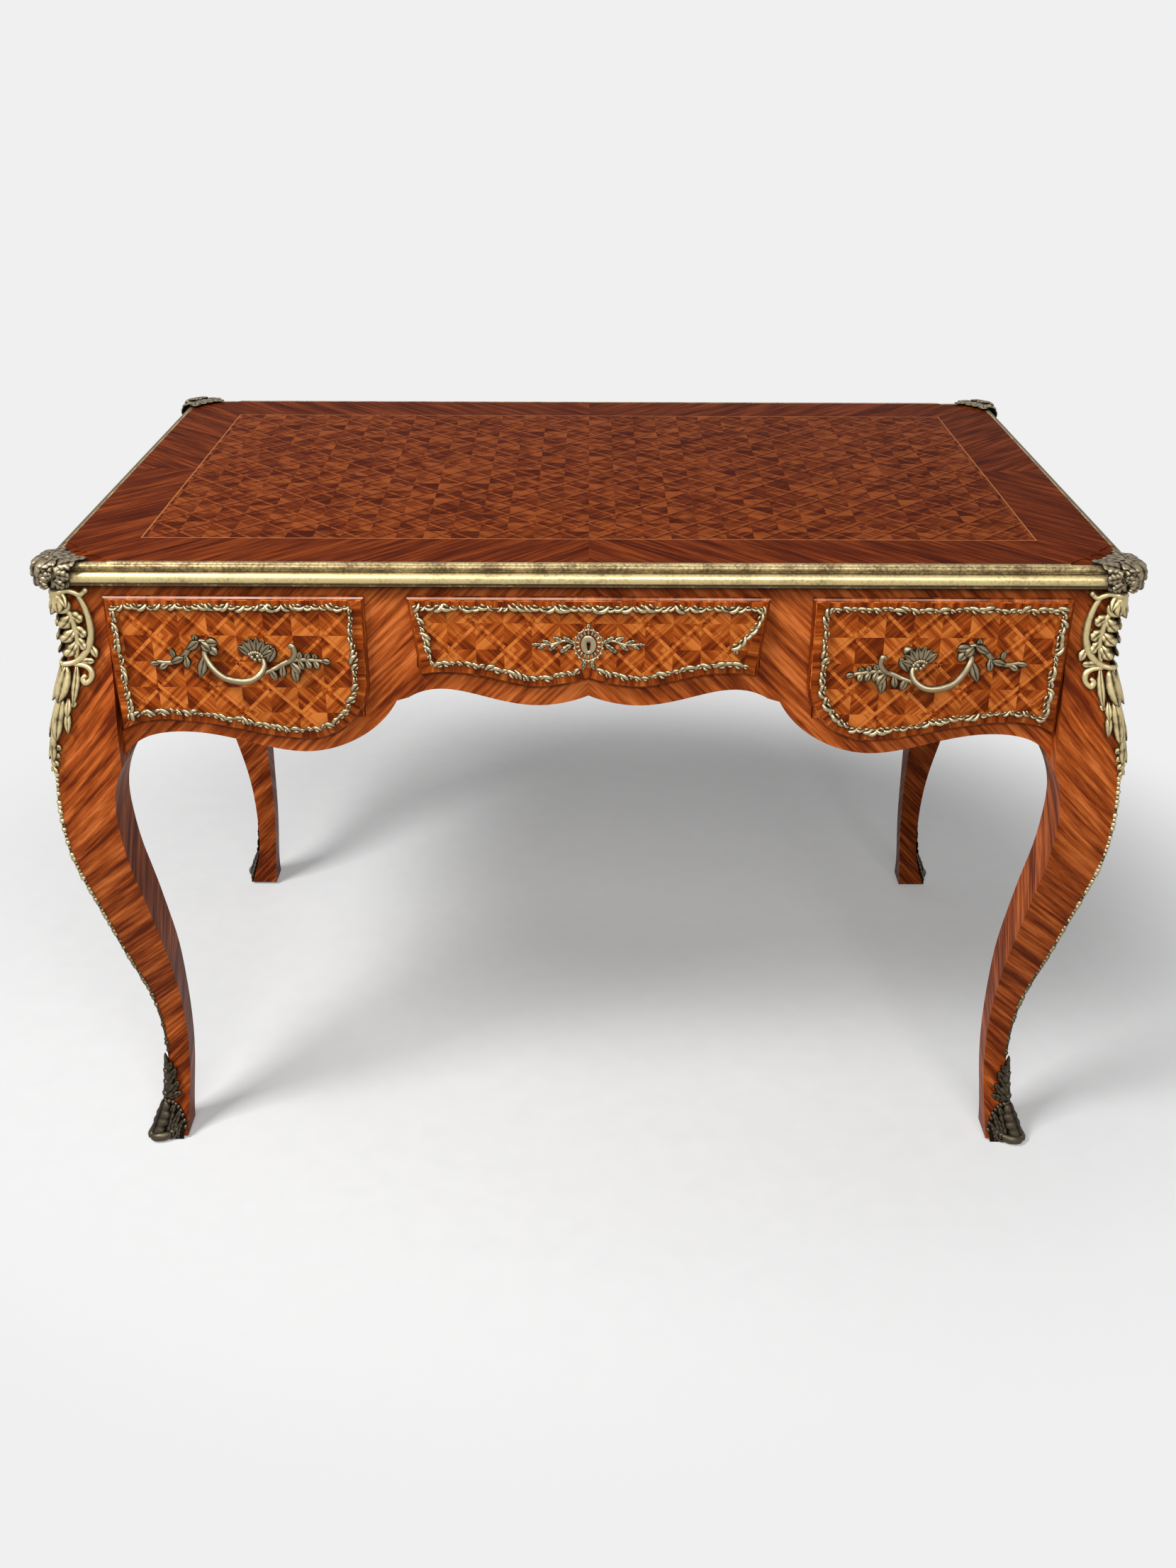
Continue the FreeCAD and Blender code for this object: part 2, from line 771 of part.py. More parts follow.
def side_lip(inset, spread=0):
    left, right = -lip_outer, -lip_inner
    top = opening_top + S.lip_rise - inset + spread
    lower = [
        (left + share * (right - left) + inset * slide, side_floor - drop * S.lip_wave + inset * lift)
        for share, drop, slide, lift in SIDE_LIP_SHARES
    ]
    corners = [(right - inset, top), (left + inset - spread, top)]
    return [lower, [lower[-1], corners[0]], corners, [corners[1], lower[0]]]


def center_lip(inset, spread=0):
    half = center_half + S.lip_overlap
    top = opening_top + S.lip_rise - inset + spread
    lower = [
        (-share * half + inset * slide, center_floor - drop * S.lip_wave + inset * lift)
        for share, drop, slide, lift in CENTER_LIP_SHARES
    ]
    other = mirrored_points(lower)
    corners = [(half - inset + spread, top), (-half + inset - spread, top)]
    return [lower, other, [other[-1], corners[0]], corners, [corners[1], lower[0]]]


def band(name, outline, start):
    ring = [outline(inset, S.band_spread) for inset in (S.band_inset, S.band_inset + S.band_width)]
    return slab(name, "XZ_Plane", ring, "band_thickness", start)


def lip_plate(name, outline):
    """The shaped show face, bevelled from its edge up to a smaller outline."""
    body = slab(name, "XZ_Plane", [outline(0)], "lip_thickness - lip_round", f"{LIP_FRONT} + lip_round")
    sketches = []
    for level, inset in (("edge", 0), ("crown", S.lip_round)):
        sketch = body.newObject("Sketcher::SketchObject", f"{name}_{level}")
        sketch.AttachmentSupport = body.Tip.Profile[0].AttachmentSupport
        sketch.MapMode = "FlatFace"
        sketch.addGeometry(edges(outline(inset)))
        sketches.append(sketch)
    sketches[1].setExpression("AttachmentOffset.Base.z", with_sheet("lip_round"))
    bevel = body.newObject("PartDesign::AdditiveLoft", name + "_bevel")
    bevel.Profile = sketches[0]
    bevel.Sections = sketches[1:]
    bevel.Ruled = True
    body.Tip = bevel
    doc.recompute()
    return body


def drawer_box(name, left, right, floor, plate, openings):
    """Front, sides, back and bottom of a drawer between two x places."""
    inner_left = f"{left} + drawer_side_thickness"
    inner_width = f"{right} - {left} - 2 * drawer_side_thickness"
    low = f"{floor} + running_gap"
    bottom = board(
        name + "_bottom",
        (f"{inner_left} - groove_depth", f"{INSET_BACK} - groove_depth", f"{low} + bottom_rise"),
        (f"{inner_width} + 2 * groove_depth", "drawer_depth + groove_depth", "drawer_bottom_thickness"),
    )
    inset = board(
        name + "_inset",
        (left, LIP_BACK, low),
        (f"{right} - {left}", "front_thickness", f"{BOX_TOP} - ({low})"),
    )
    side_boards = [
        board(
            f"{name}_side_{number}",
            (place_x, INSET_BACK, low),
            ("drawer_side_thickness", "drawer_depth", f"{BOX_TOP} - ({low})"),
        )
        for number, place_x in enumerate((left, f"{right} - drawer_side_thickness"), 1)
    ]
    sides = [cut(item.Name + "_grooved", item, bottom) for item in side_boards]
    back_low = f"{low} + bottom_rise + drawer_bottom_thickness"
    back = board(
        name + "_back",
        (inner_left, f"{INSET_BACK} + drawer_depth - drawer_back_thickness", back_low),
        (inner_width, "drawer_back_thickness", f"{BOX_TOP} - back_drop - ({back_low})"),
    )
    front_piece = cut(name + "_front", joined(name + "_lipped", [plate, inset]), bottom, *openings)
    return {"front": front_piece, "sides": group(name + "_sides", sides), "back": back, "bottom": bottom}


def keep_drawer(name, parts):
    for kind, item in parts.items():
        keep(item, f"{name}_{kind}")


# Handle: a bow between two leaf sprays, cast in one with the posts that pass through the drawer front.
# Each spray runs from its post towards the band, in shares of its length and of its height.
HANDLE_LEAF_SHARES = {
    -1: [(1.0, 0.26), (0.61, 0.74), (0.22, 1.0), (-0.19, 1.0), (-0.085, 0.6), (0.305, 0.4), (0.695, 0.13)],
    1: [(-0.15, 0.1), (0.22, -0.05), (0.66, 0.12), (1.03, 0.34), (0.85, 0.6), (0.46, 0.67), (0.0, 0.67)],
}
HANDLE_BOW_TILT = -125
HANDLE_X = f"(-({LIP_OUTER} + {LIP_INNER}) / 2)"
HANDLE_Z = f"({FRAME_TOP} - handle_drop)"
HANDLE_POST_Z = f"({HANDLE_Z} + handle_post_rise)"
handle_x = -(lip_outer + lip_inner) / 2
handle_z = frame_top - S.handle_drop
handle_reach = (lip_outer - lip_inner) / 2 - S.band_inset - S.band_width - S.handle_end_gap
spray_length = handle_reach - S.handle_bow_radius
THROUGH_FRONT = "(lip_thickness + front_thickness)"


def round_bar(name, radius, length, corner, direction):
    item = doc.addObject("Part::Cylinder", name)
    item.setExpression("Radius", with_sheet(radius))
    item.setExpression("Height", with_sheet(length))
    item.Placement = Placement(Vector(), Rotation(NORMAL_Z, direction))
    place(item, corner)
    return item


def handle_bars(name, radius, length, start):
    """A round bar at each handle post, running back from start."""
    bars = []
    for side, sign in (("_left", "-"), ("_right", "+")):
        corner = (f"{HANDLE_X} {sign} handle_bow_radius", start, HANDLE_POST_Z)
        bars.append(round_bar(name + side, radius, length, corner, NORMAL_Y))
    return bars


def handle_spray(way, shares):
    points = [
        (handle_x + way * (S.handle_bow_radius + along * spray_length), handle_z + up * S.handle_leaf_height)
        for along, up in shares
    ]
    name = "handle_spray_left" if way < 0 else "handle_spray_right"
    start = f"{LIP_FRONT} - handle_leaf_thickness"
    return slab(name, "XZ_Plane", [[points + points[:1]]], "handle_leaf_thickness", start)


sprays = [handle_spray(way, shares) for way, shares in HANDLE_LEAF_SHARES.items()]
bow = doc.addObject("Part::Torus", "handle_bow")
bow.setExpression("Radius1", with_sheet("handle_bow_radius"))
bow.setExpression("Radius2", with_sheet("handle_bow_section"))
bow.Angle3 = 180
bow.Placement = Placement(Vector(), Rotation(NORMAL_X, HANDLE_BOW_TILT))
place(bow, (HANDLE_X, f"{LIP_FRONT} - handle_bow_section / 2", HANDLE_POST_Z))
curl = doc.addObject("Part::Sphere", "handle_curl")
curl.setExpression("Radius", with_sheet("handle_curl_radius"))
place(
    curl,
    (
        f"{HANDLE_X} + handle_bow_radius - handle_curl_radius",
        f"{LIP_FRONT} - handle_curl_radius / 2",
        HANDLE_POST_Z,
    ),
)
bosses = handle_bars(
    "handle_boss",
    "2 * handle_post_radius",
    "2 * handle_leaf_thickness",
    f"{LIP_FRONT} - 2 * handle_leaf_thickness",
)
BEHIND_SPAN = "(4 * handle_bow_radius)"
behind_face = board(
    "behind_face",
    (f"{HANDLE_X} - {BEHIND_SPAN} / 2", LIP_FRONT, f"{HANDLE_POST_Z} - {BEHIND_SPAN} / 2"),
    (BEHIND_SPAN, BEHIND_SPAN, BEHIND_SPAN),
)
relief = [cut(item.Name + "_face", item, behind_face) for item in (bow, curl)]
posts = handle_bars("handle_post", "handle_post_radius", f"{THROUGH_FRONT} + nut_thickness", LIP_FRONT)
handle = welded("left_handle", sprays + bosses + relief + posts)
nut_blanks = handle_bars("handle_nut", "nut_radius", "nut_thickness", INSET_BACK)
bored_nuts = [cut(item.Name + "_bored", item, post) for item, post in zip(nut_blanks, posts)]
nuts = group("left_handle_nuts", bored_nuts)
post_holes = handle_bars(
    "post_hole",
    "handle_post_radius + handle_post_clearance",
    f"{THROUGH_FRONT} + 2 * overrun",
    f"{LIP_FRONT} - overrun",
)

side_left = f"(-{POST_INNER_X} + slide_clearance)"
side_right = f"(-{DIVIDER_OUTER} - slide_clearance)"
left_plate = lip_plate("left_lip", side_lip)
left_parts = drawer_box("left_drawer", side_left, side_right, SIDE_FLOOR, left_plate, post_holes)
left_parts["band"] = band("left_band", side_lip, f"{LIP_FRONT} - band_thickness")
left_parts["handle"] = handle
left_parts["handle_nuts"] = nuts
keep_drawer("left_drawer", left_parts)
right_parts = {kind: mirror("right_" + kind, item, NORMAL_X) for kind, item in left_parts.items()}
keep_drawer("right_drawer", right_parts)

# Centre drawer: a lock let into the back of the front, its bolt rising into the top rail.
KEYHOLE_Z = f"({FRAME_TOP} - keyhole_drop)"
LOCK_Y = f"({INSET_BACK} - lock_depth)"
KEYHOLE_START = f"({LIP_FRONT} - 2 * overrun)"
KEYHOLE_LENGTH = f"{LOCK_Y} + 2 * lock_wall - {KEYHOLE_START}"
key_center = ("0", KEYHOLE_START, KEYHOLE_Z)
key_round = round_bar("key_round", "keyhole_radius", KEYHOLE_LENGTH, key_center, NORMAL_Y)
key_slot = board(
    "key_slot",
    ("-keyhole_slot_width / 2", KEYHOLE_START, f"{KEYHOLE_Z} - keyhole_slot_length"),
    ("keyhole_slot_width", KEYHOLE_LENGTH, "keyhole_slot_length"),
)
keyhole = joined("keyhole", [key_round, key_slot])
lock_outside = board(
    "lock_outside",
    ("-lock_width / 2", LOCK_Y, f"{BOX_TOP} - lock_height"),
    ("lock_width", "lock_depth", "lock_height"),
)
lock_inside = board(
    "lock_inside",
    ("-lock_width / 2 + lock_wall", f"{LOCK_Y} + lock_wall", f"{BOX_TOP} - lock_height + lock_wall"),
    ("lock_width - 2 * lock_wall", "lock_depth - 2 * lock_wall", "lock_height - 2 * lock_wall"),
)
BOLT_LOW = f"({BOX_TOP} - lock_wall - running_gap - bolt_throw - bolt_height)"
bolt_slot = board(
    "bolt_slot",
    ("-bolt_tongue_width / 2 - running_gap", f"{LOCK_Y} + lock_wall", f"{BOX_TOP} - 2 * lock_wall"),
    ("bolt_tongue_width + 2 * running_gap", "lock_depth - 2 * lock_wall", "3 * lock_wall"),
)
bolt_body = board(
    "bolt_body",
    ("-bolt_width / 2", BOLT_Y, BOLT_LOW),
    ("bolt_width", BOLT_THICKNESS, "bolt_height"),
)
bolt_tongue = board(
    "bolt_tongue",
    ("-bolt_tongue_width / 2", BOLT_Y, BOLT_LOW),
    ("bolt_tongue_width", BOLT_THICKNESS, f"{BOX_TOP} - {BOLT_LOW}"),
)
ESCUTCHEON_SHARES = [
    (0.0, 0.5),
    (0.13, 0.34),
    (0.24, 0.2),
    (0.37, 0.34),
    (0.5, 0.2),
    (0.42, -0.06),
    (0.3, -0.12),
    (0.18, -0.26),
    (0.09, -0.46),
    (0.0, -0.5),
]
keyhole_z = frame_top - S.keyhole_drop
right_edge = [(a * S.escutcheon_length, keyhole_z + b * S.escutcheon_height) for a, b in ESCUTCHEON_SHARES]
escutcheon_plate = slab(
    "escutcheon_plate",
    "XZ_Plane",
    [[right_edge, mirrored_points(right_edge)]],
    "escutcheon_thickness",
    f"{LIP_FRONT} - escutcheon_thickness",
)
center_parts = drawer_box(
    "center_drawer",
    f"(-{CENTER_HALF} + slide_clearance)",
    f"({CENTER_HALF} - slide_clearance)",
    CENTER_FLOOR,
    lip_plate("center_lip", center_lip),
    [lock_outside, keyhole],
)
center_parts["band"] = band("center_band", center_lip, f"{LIP_FRONT} - band_thickness")
keep_drawer("center_drawer", center_parts)
keep(cut("escutcheon", escutcheon_plate, keyhole), "escutcheon")
keep(cut("lock_case", lock_outside, lock_inside, bolt_slot, keyhole), "lock_case")
keep(joined("lock_bolt", [bolt_body, bolt_tongue]), "lock_bolt")

# Sham drawer fronts on the back apron, with the same bands.
BACK_FACE = "(top_width / 2 - top_overhang)"
sham_side = slab("sham_side", "XZ_Plane", [side_lip(0)], "lip_thickness", BACK_FACE)
sham_center = slab("sham_center", "XZ_Plane", [center_lip(0)], "lip_thickness", BACK_FACE)
sham_right = mirror("sham_right", sham_side, NORMAL_X)
keep(group("back_sham_fronts", [sham_side, sham_center, sham_right]), "back_sham_fronts")
sham_side_band = band("sham_side_band", side_lip, f"{BACK_FACE} + lip_thickness")
sham_center_band = band("sham_center_band", center_lip, f"{BACK_FACE} + lip_thickness")
sham_right_band = mirror("sham_right_band", sham_side_band, NORMAL_X)
keep(group("back_bands", [sham_side_band, sham_center_band, sham_right_band]), "back_bands")

doc.recompute()
for item in doc.Objects:
    if "Invalid" in item.State or "Error" in item.State:
        raise RuntimeError(f"{item.Label} did not build")
for item in pieces:
    if item.Shape.isNull() or not item.Shape.isValid() or not item.Shape.Solids:
        raise RuntimeError(f"{item.Label} is not a sound solid")
os.makedirs("parts", exist_ok=True)
for item in pieces:
    item.Shape.exportStep(f"parts/{item.Label}.step")
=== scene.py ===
import json
import math
from itertools import groupby

import bmesh
import bpy
from mathutils import Matrix, Vector
from mathutils.bvhtree import BVHTree


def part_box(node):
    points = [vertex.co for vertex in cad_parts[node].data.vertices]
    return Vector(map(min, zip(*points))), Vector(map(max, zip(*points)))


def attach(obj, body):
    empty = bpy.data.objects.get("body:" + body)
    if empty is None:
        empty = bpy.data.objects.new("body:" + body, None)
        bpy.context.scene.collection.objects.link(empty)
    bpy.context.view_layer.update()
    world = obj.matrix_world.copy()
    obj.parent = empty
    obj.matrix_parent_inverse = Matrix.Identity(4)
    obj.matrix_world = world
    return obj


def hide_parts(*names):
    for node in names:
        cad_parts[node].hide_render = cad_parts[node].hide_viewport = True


# Looks of the writing table round its CAD frame. Metres, front towards -Y, floor at z = 0.
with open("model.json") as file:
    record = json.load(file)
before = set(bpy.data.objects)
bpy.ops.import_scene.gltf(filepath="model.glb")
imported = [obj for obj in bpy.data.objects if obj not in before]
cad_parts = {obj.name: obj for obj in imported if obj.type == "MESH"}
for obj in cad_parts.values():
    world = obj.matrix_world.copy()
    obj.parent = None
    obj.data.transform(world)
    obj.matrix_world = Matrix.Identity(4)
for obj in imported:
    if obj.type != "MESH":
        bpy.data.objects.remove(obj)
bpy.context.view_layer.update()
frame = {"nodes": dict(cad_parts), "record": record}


def middle(node):
    low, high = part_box(node)
    return (low + high) / 2


# Places taken from the frame.
PANEL_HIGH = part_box("top_panel")[1]
LEFT_MIDDLE = middle("left_drawer_front")
FACE_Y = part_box("left_drawer_front")[0].y
LIP_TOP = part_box("left_drawer_front")[1].z
DIVIDER_MIDDLE = -middle("front_divider_left").x
LEG_INSIDE = -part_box("left_drawer_front")[0].x
KEYHOLE = middle("escutcheon")
RIM_LOW = Vector((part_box("rim_left")[0].x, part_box("rim_front")[0].y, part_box("rim_front")[0].z))
RIM_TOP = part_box("rim_front")[1].z


# ---- Materials ----
def new_node(tree, kind, settings=(), sockets=()):
    """A new node with its settings, and its inputs from values or other nodes' outputs."""
    made = tree.nodes.new(kind)
    for name, value in dict(settings).items():
        setattr(made, name, value)
    for key, value in dict(sockets).items():
        if isinstance(value, bpy.types.NodeSocket):
            tree.links.new(value, made.inputs[key])
        else:
            made.inputs[key].default_value = value
    return made


def arithmetic(operation, turned=False):
    """A method that adds one Math node; turned is for a number on the left."""
    return lambda wire, other: wire.math(operation, *((other, wire) if turned else (wire, other)))


class Wire:
    """One output in a material; arithmetic on it adds Math nodes."""

    __add__, __radd__ = arithmetic("ADD"), arithmetic("ADD", True)
    __sub__, __rsub__ = arithmetic("SUBTRACT"), arithmetic("SUBTRACT", True)
    __mul__, __rmul__ = arithmetic("MULTIPLY"), arithmetic("MULTIPLY", True)
    __truediv__ = arithmetic("DIVIDE")
    __gt__, __lt__ = arithmetic("GREATER_THAN"), arithmetic("LESS_THAN")
    greater = arithmetic("MAXIMUM")

    def __init__(self, finish, socket):
        self.finish = finish
        self.socket = socket

    def math(self, operation, *values):
        return self.finish.node("ShaderNodeMath", {"operation": operation}, values)

    def output(self, key):
        return Wire(self.finish, self.socket.node.outputs[key])

    def __abs__(self):
        return self.math("ABSOLUTE", self)

    def floor(self):
        return self.math("FLOOR", self)


class Finish:
    """A material with one Principled shader, built up from wires."""

    def __init__(self, name, **constants):
        self.material = bpy.data.materials.new(name)
        self.material.use_nodes = True
        self.tree = self.material.node_tree
        self.shader = self.tree.nodes["Principled BSDF"]
        for socket, value in constants.items():
            self.shader.inputs[socket.replace("_", " ")].default_value = value

    def node(self, kind, settings=(), sockets=()):
        """A new node: its settings first, then its inputs by name or in order."""
        named = sockets if isinstance(sockets, dict) else dict(enumerate(sockets))
        plain = {key: value.socket if isinstance(value, Wire) else value for key, value in named.items()}
        return Wire(self, new_node(self.tree, kind, settings, plain).outputs[0])

    def place(self):
        """The object's x, y and z as three wires."""
        where = self.node("ShaderNodeTexCoord").output("Object")
        parts = self.node("ShaderNodeSeparateXYZ", {}, [where])
        return parts, parts.output(1), parts.output(2)

    def vector(self, *parts):
        return self.node("ShaderNodeCombineXYZ", {}, parts)

    def noise(self, vector, scale=1.0, detail=2.0):
        return self.node("ShaderNodeTexNoise", {}, {"Vector": vector, "Scale": scale, "Detail": detail})

    def chance(self, *parts):
        """A fixed random number for each set of whole numbers."""
        return self.node("ShaderNodeTexWhiteNoise", {}, {"Vector": self.vector(*parts)})

    def mix(self, factor, low, high):
        sockets = {0: factor, 6: low, 7: high}
        return self.node("ShaderNodeMix", {"data_type": "RGBA"}, sockets).output(2)

    def rise(self, value, low, high, curve="LINEAR"):
        """0 up to the low value, 1 from the high value on."""
        sockets = {"Value": value, "From Min": low, "From Max": high}
        return self.node("ShaderNodeMapRange", {"interpolation_type": curve}, sockets)

    @staticmethod
    def either(factor, low, high):
        """One of two numbers, or a share of both."""
        return low + (high - low) * factor

    def ramp(self, value, *stops):
        wire = self.node("ShaderNodeValToRGB", {}, [value])
        elements = wire.socket.node.color_ramp.elements
        elements[0].position, elements[1].position = stops[0][0], stops[-1][0]
        elements[0].color, elements[-1].color = stops[0][1], stops[-1][1]
        for position, color in stops[1:-1]:
            elements.new(position).color = color
        return wire

    def bump(self, height, distance):
        return self.node("ShaderNodeBump", {}, {"Strength": 0.6, "Distance": distance, "Height": height})

    def surface(self, **wires):
        for socket, wire in wires.items():
            self.tree.links.new(wire.socket, self.shader.inputs[socket.replace("_", " ")])
        return self.material


def tone(red, green, blue):
    return (red, green, blue, 1.0)


LEG_TONES = (tone(0.11, 0.016, 0.003), tone(0.33, 0.065, 0.01), tone(0.6, 0.16, 0.036))
TOP_TONES = (tone(0.042, 0.005, 0.001), tone(0.1, 0.015, 0.002), tone(0.2, 0.038, 0.006))
FIELD_TONES = (tone(0.05, 0.006, 0.001), tone(0.122, 0.02, 0.003), tone(0.24, 0.055, 0.01))
DRAWER_TONES = (tone(0.11, 0.015, 0.002), tone(0.33, 0.06, 0.006), tone(0.6, 0.175, 0.032))
OAK_TONES = (tone(0.2, 0.095, 0.035), tone(0.36, 0.2, 0.08), tone(0.5, 0.31, 0.15))

# Where a wood's dark, middle and light tones lie between its lines.
WOOD_STOPS = (0.39, 0.5, 0.61)
# A striped wood's figure, lines and pores: how fine along and across the grain, their detail and weight.
STRIPES = ((5, 45, 2.0, 0.4), (9, 170, 3.0, 0.45), (60, 1200, 1.0, 0.15))
STRIPE_DEPTH = 9
POLISH = {"Specular_IOR_Level": 0.05, "Coat_Weight": 0.03, "Coat_Roughness": 0.15}
PARQUETRY_SPACING = 0.0595


def stripes(finish, along, across, depth):
    """0.3 or so in the dark lines of a striped wood, 0.7 in the light ones."""
    value = 0.0
    for length, width, detail, weight in STRIPES:
        where = finish.vector(along * length, across * width, depth * STRIPE_DEPTH)
        value = value + finish.noise(where, 1.0, detail) * weight
    return value


def wood_colors(finish, value, tones):
    return finish.ramp(value, *zip(WOOD_STOPS, tones))


def polished(finish, value, color):
    """French polish over a wood: the darker lines are a little duller."""
    return finish.surface(
        Base_Color=color,
        Roughness=0.5 - value * 0.25,
        Normal=finish.bump(value, 0.0003),
    )


def leg_veneer():
    """Striped veneer laid aslant, rising towards the middle and darker towards the bottom, with painted shade on the
    legs' upper part and a painted shadow under the rim.
    """
    knee, under_rim, rim_shadow_tone = (0.55, 0.62), (RIM_LOW.z - 0.02, RIM_LOW.z - 0.003), tone(0.02, 0.005, 0.002)
    finish = Finish("leg_veneer", **POLISH)
    x, y, z = finish.place()
    # Painted shade on the legs' upper part, from the lower knee height up.
    upper_leg_shade = finish.rise(z, *knee) * (abs(x) > LEG_INSIDE)
    value = stripes(finish, z - abs(x) - abs(y), z + abs(x) + abs(y), x - y)
    # Darker towards the bottom, and darker again under the painted shade up top.
    value = value + (z - PANEL_HIGH.z) * 0.1 + 0.015 - upper_leg_shade * 0.04
    # Painted shadow of the rim's overhang: just under the rim the wood is mixed towards a near-black tone.
    rim_shadow = finish.rise(z, *under_rim) * 0.6
    return polished(finish, value, finish.mix(rim_shadow, wood_colors(finish, value, LEG_TONES), rim_shadow_tone))


def lattice(finish, x, y, spacing, strip, line):
    """Squares on the corner, each quartered into a star, between strips of a light and a dark half.

    Returns the wood's value and a mask of the lines along the strips."""
    rising = (x + y) / spacing + 0.5
    falling = (x - y) / spacing + 0.5
    cell_a, cell_b = rising.floor(), falling.floor()
    a, b = rising - cell_a - 0.5, falling - cell_b - 0.5
    edge = 0.5 - strip / spacing / math.sqrt(2)
    inner = edge - line / spacing * math.sqrt(2)
    reach_a, reach_b = abs(a), abs(b)
    strip_a, strip_b = reach_a > edge, reach_b > edge
    strips = strip_a.greater(strip_b)
    lines = (reach_a.greater(reach_b) > inner) - strips
    right, upper = (a + b) > 0.0, (a - b) > 0.0
    quarter = abs(right - upper)
    turned = finish.either(strips, quarter, strip_b)
    light_half = finish.either(strip_b, a > 0.0, b > 0.0)
    across = finish.either(turned, falling, rising) * spacing
    along = finish.either(turned, rising, falling) * spacing
    depth = finish.chance(cell_a, cell_b, right + upper * 2)
    value = stripes(finish, along, across, depth)
    star = (finish.chance(cell_a, cell_b, quarter) - 0.5) * 0.1 + (quarter - 0.5) * 0.07
    shade = finish.either(strips, star, light_half * 0.12 - 0.04)
    return value + shade, lines


def top_parquetry():
    """A lattice field in a cross-banded border with a thin pale line between."""
    border, line = 0.075, 0.0016
    finish = Finish("top_parquetry", Specular_IOR_Level=0.003, Coat_Weight=0.01, Coat_Roughness=0.15)
    x, y, _ = finish.place()
    reach = (abs(x) - (PANEL_HIGH.x - border)).greater(abs(y) - (PANEL_HIGH.y - border))
    banding = stripes(finish, abs(x) + abs(y), abs(x) - abs(y), (x > 0) + (y > 0) * 2)
    field, lines = lattice(finish, x, y, PARQUETRY_SPACING, strip=0.007, line=0.0006)
    field_color = finish.mix(lines * 0.6, wood_colors(finish, field, FIELD_TONES), FIELD_TONES[0])
    color = finish.mix(reach > 0.0, field_color, wood_colors(finish, banding, TOP_TONES))
    color = finish.mix((abs(reach) < line / 2) * 0.7, color, tone(0.45, 0.17, 0.06))
    return polished(finish, finish.either(reach > 0.0, field, banding), color)


def drawer_parquetry():
    """The lattice on the drawer fronts, centred on each drawer, and plain wood round it, with a painted highlight
    along the upper edge that fades towards the right.
    """
    side_center, center = LEFT_MIDDLE.z + 0.04, KEYHOLE.z - 0.006
    highlight_high, highlight_deep, highlight_tone = 0.0016, 0.0034, tone(0.72, 0.46, 0.37)
    finish = Finish("drawer_parquetry", **POLISH)
    x, y, z = finish.place()
    side = abs(x) > DIVIDER_MIDDLE
    local_x = abs(x) + side * LEFT_MIDDLE.x
    local_z = z - finish.either(side, center, side_center)
    field, lines = lattice(finish, local_x, local_z, PARQUETRY_SPACING, strip=0.0076, line=0.0006)
    behind = -FACE_Y - abs(y)
    edge = behind > 0.0006
    # The lip's bevel and sides are plain striped wood, painted a little darker as shade.
    value = finish.either(edge, field, stripes(finish, z, x, y) - 0.05)
    color = finish.mix(lines * (1 - edge) * 0.6, wood_colors(finish, value, DRAWER_TONES), DRAWER_TONES[0])
    # Painted highlight along the lip's upper bevel, in patches, brightest towards the left and fading to the right.
    highlight_spread = finish.noise(finish.vector(x, y, z), 12.0) * 1.2 - 0.2 - x * 0.6
    edge_highlight = (z > LIP_TOP - highlight_high) * (behind < highlight_deep) * highlight_spread
    return polished(finish, value, finish.mix(edge_highlight, color, highlight_tone))


def drawer_crossband():
    """The border round the lattice, its grain across the edge that it follows."""
    finish = Finish("drawer_crossband", **POLISH)
    along = finish.node("ShaderNodeUVMap", {"uv_map": "grain"})
    grain = finish.node("ShaderNodeSeparateXYZ", {}, [along])
    value = stripes(finish, grain.output(1), grain, 0.0) - 0.03
    return polished(finish, value, wood_colors(finish, value, DRAWER_TONES))


def oak(name):
    finish = Finish(name)
    x, y, z = finish.place()
    value = stripes(finish, y * 0.6, x * 0.7, z * 0.7)
    return finish.surface(
        Base_Color=wood_colors(finish, value, OAK_TONES),
        Roughness=0.75 - value * 0.2,
        Normal=finish.bump(value, 0.0004),
    )


def brass(name, dark, light, roughness, patch=60.0, metal=1.0, low=0.0, high=0.0):
    """Lacquered brass, darkened in patches by age; on a moulding between two heights, painted shade darkens its
    foot, its upper part and its groove, and more the upper part of its ends.
    """
    finish = Finish(name, Metallic=metal)
    x, y, z = finish.place()
    where = finish.vector(x, y, z)
    cloud = finish.noise(where, patch, 4.0)
    fine = finish.noise(where, patch * 9, 3.0)
    tarnish_and_shade = cloud * 0.4 + fine * 0.4 + 0.1
    # Painted shade on the rim's moulding: darker at its foot, its upper part and its groove, and more on the upper
    # part of its ends.
    if high > low:
        groove_share, foot_share, ends = 0.62, 0.22, abs(x) > PANEL_HIGH.x + 0.002
        upper = z > low + (high - low) * groove_share
        foot = z < low + (high - low) * foot_share
        groove = abs((z - low) / (high - low) - groove_share) < 0.03
        tarnish_and_shade = tarnish_and_shade + 0.04 - upper * 0.17 - ends * upper * 0.2 - foot * 0.25 - groove * 0.08
    return finish.surface(
        Base_Color=finish.ramp(tarnish_and_shade, (0.3, dark), (0.55, light)),
        Roughness=roughness + (0.55 - tarnish_and_shade) * 0.5,
        Normal=finish.bump(fine, 0.0002),
    )


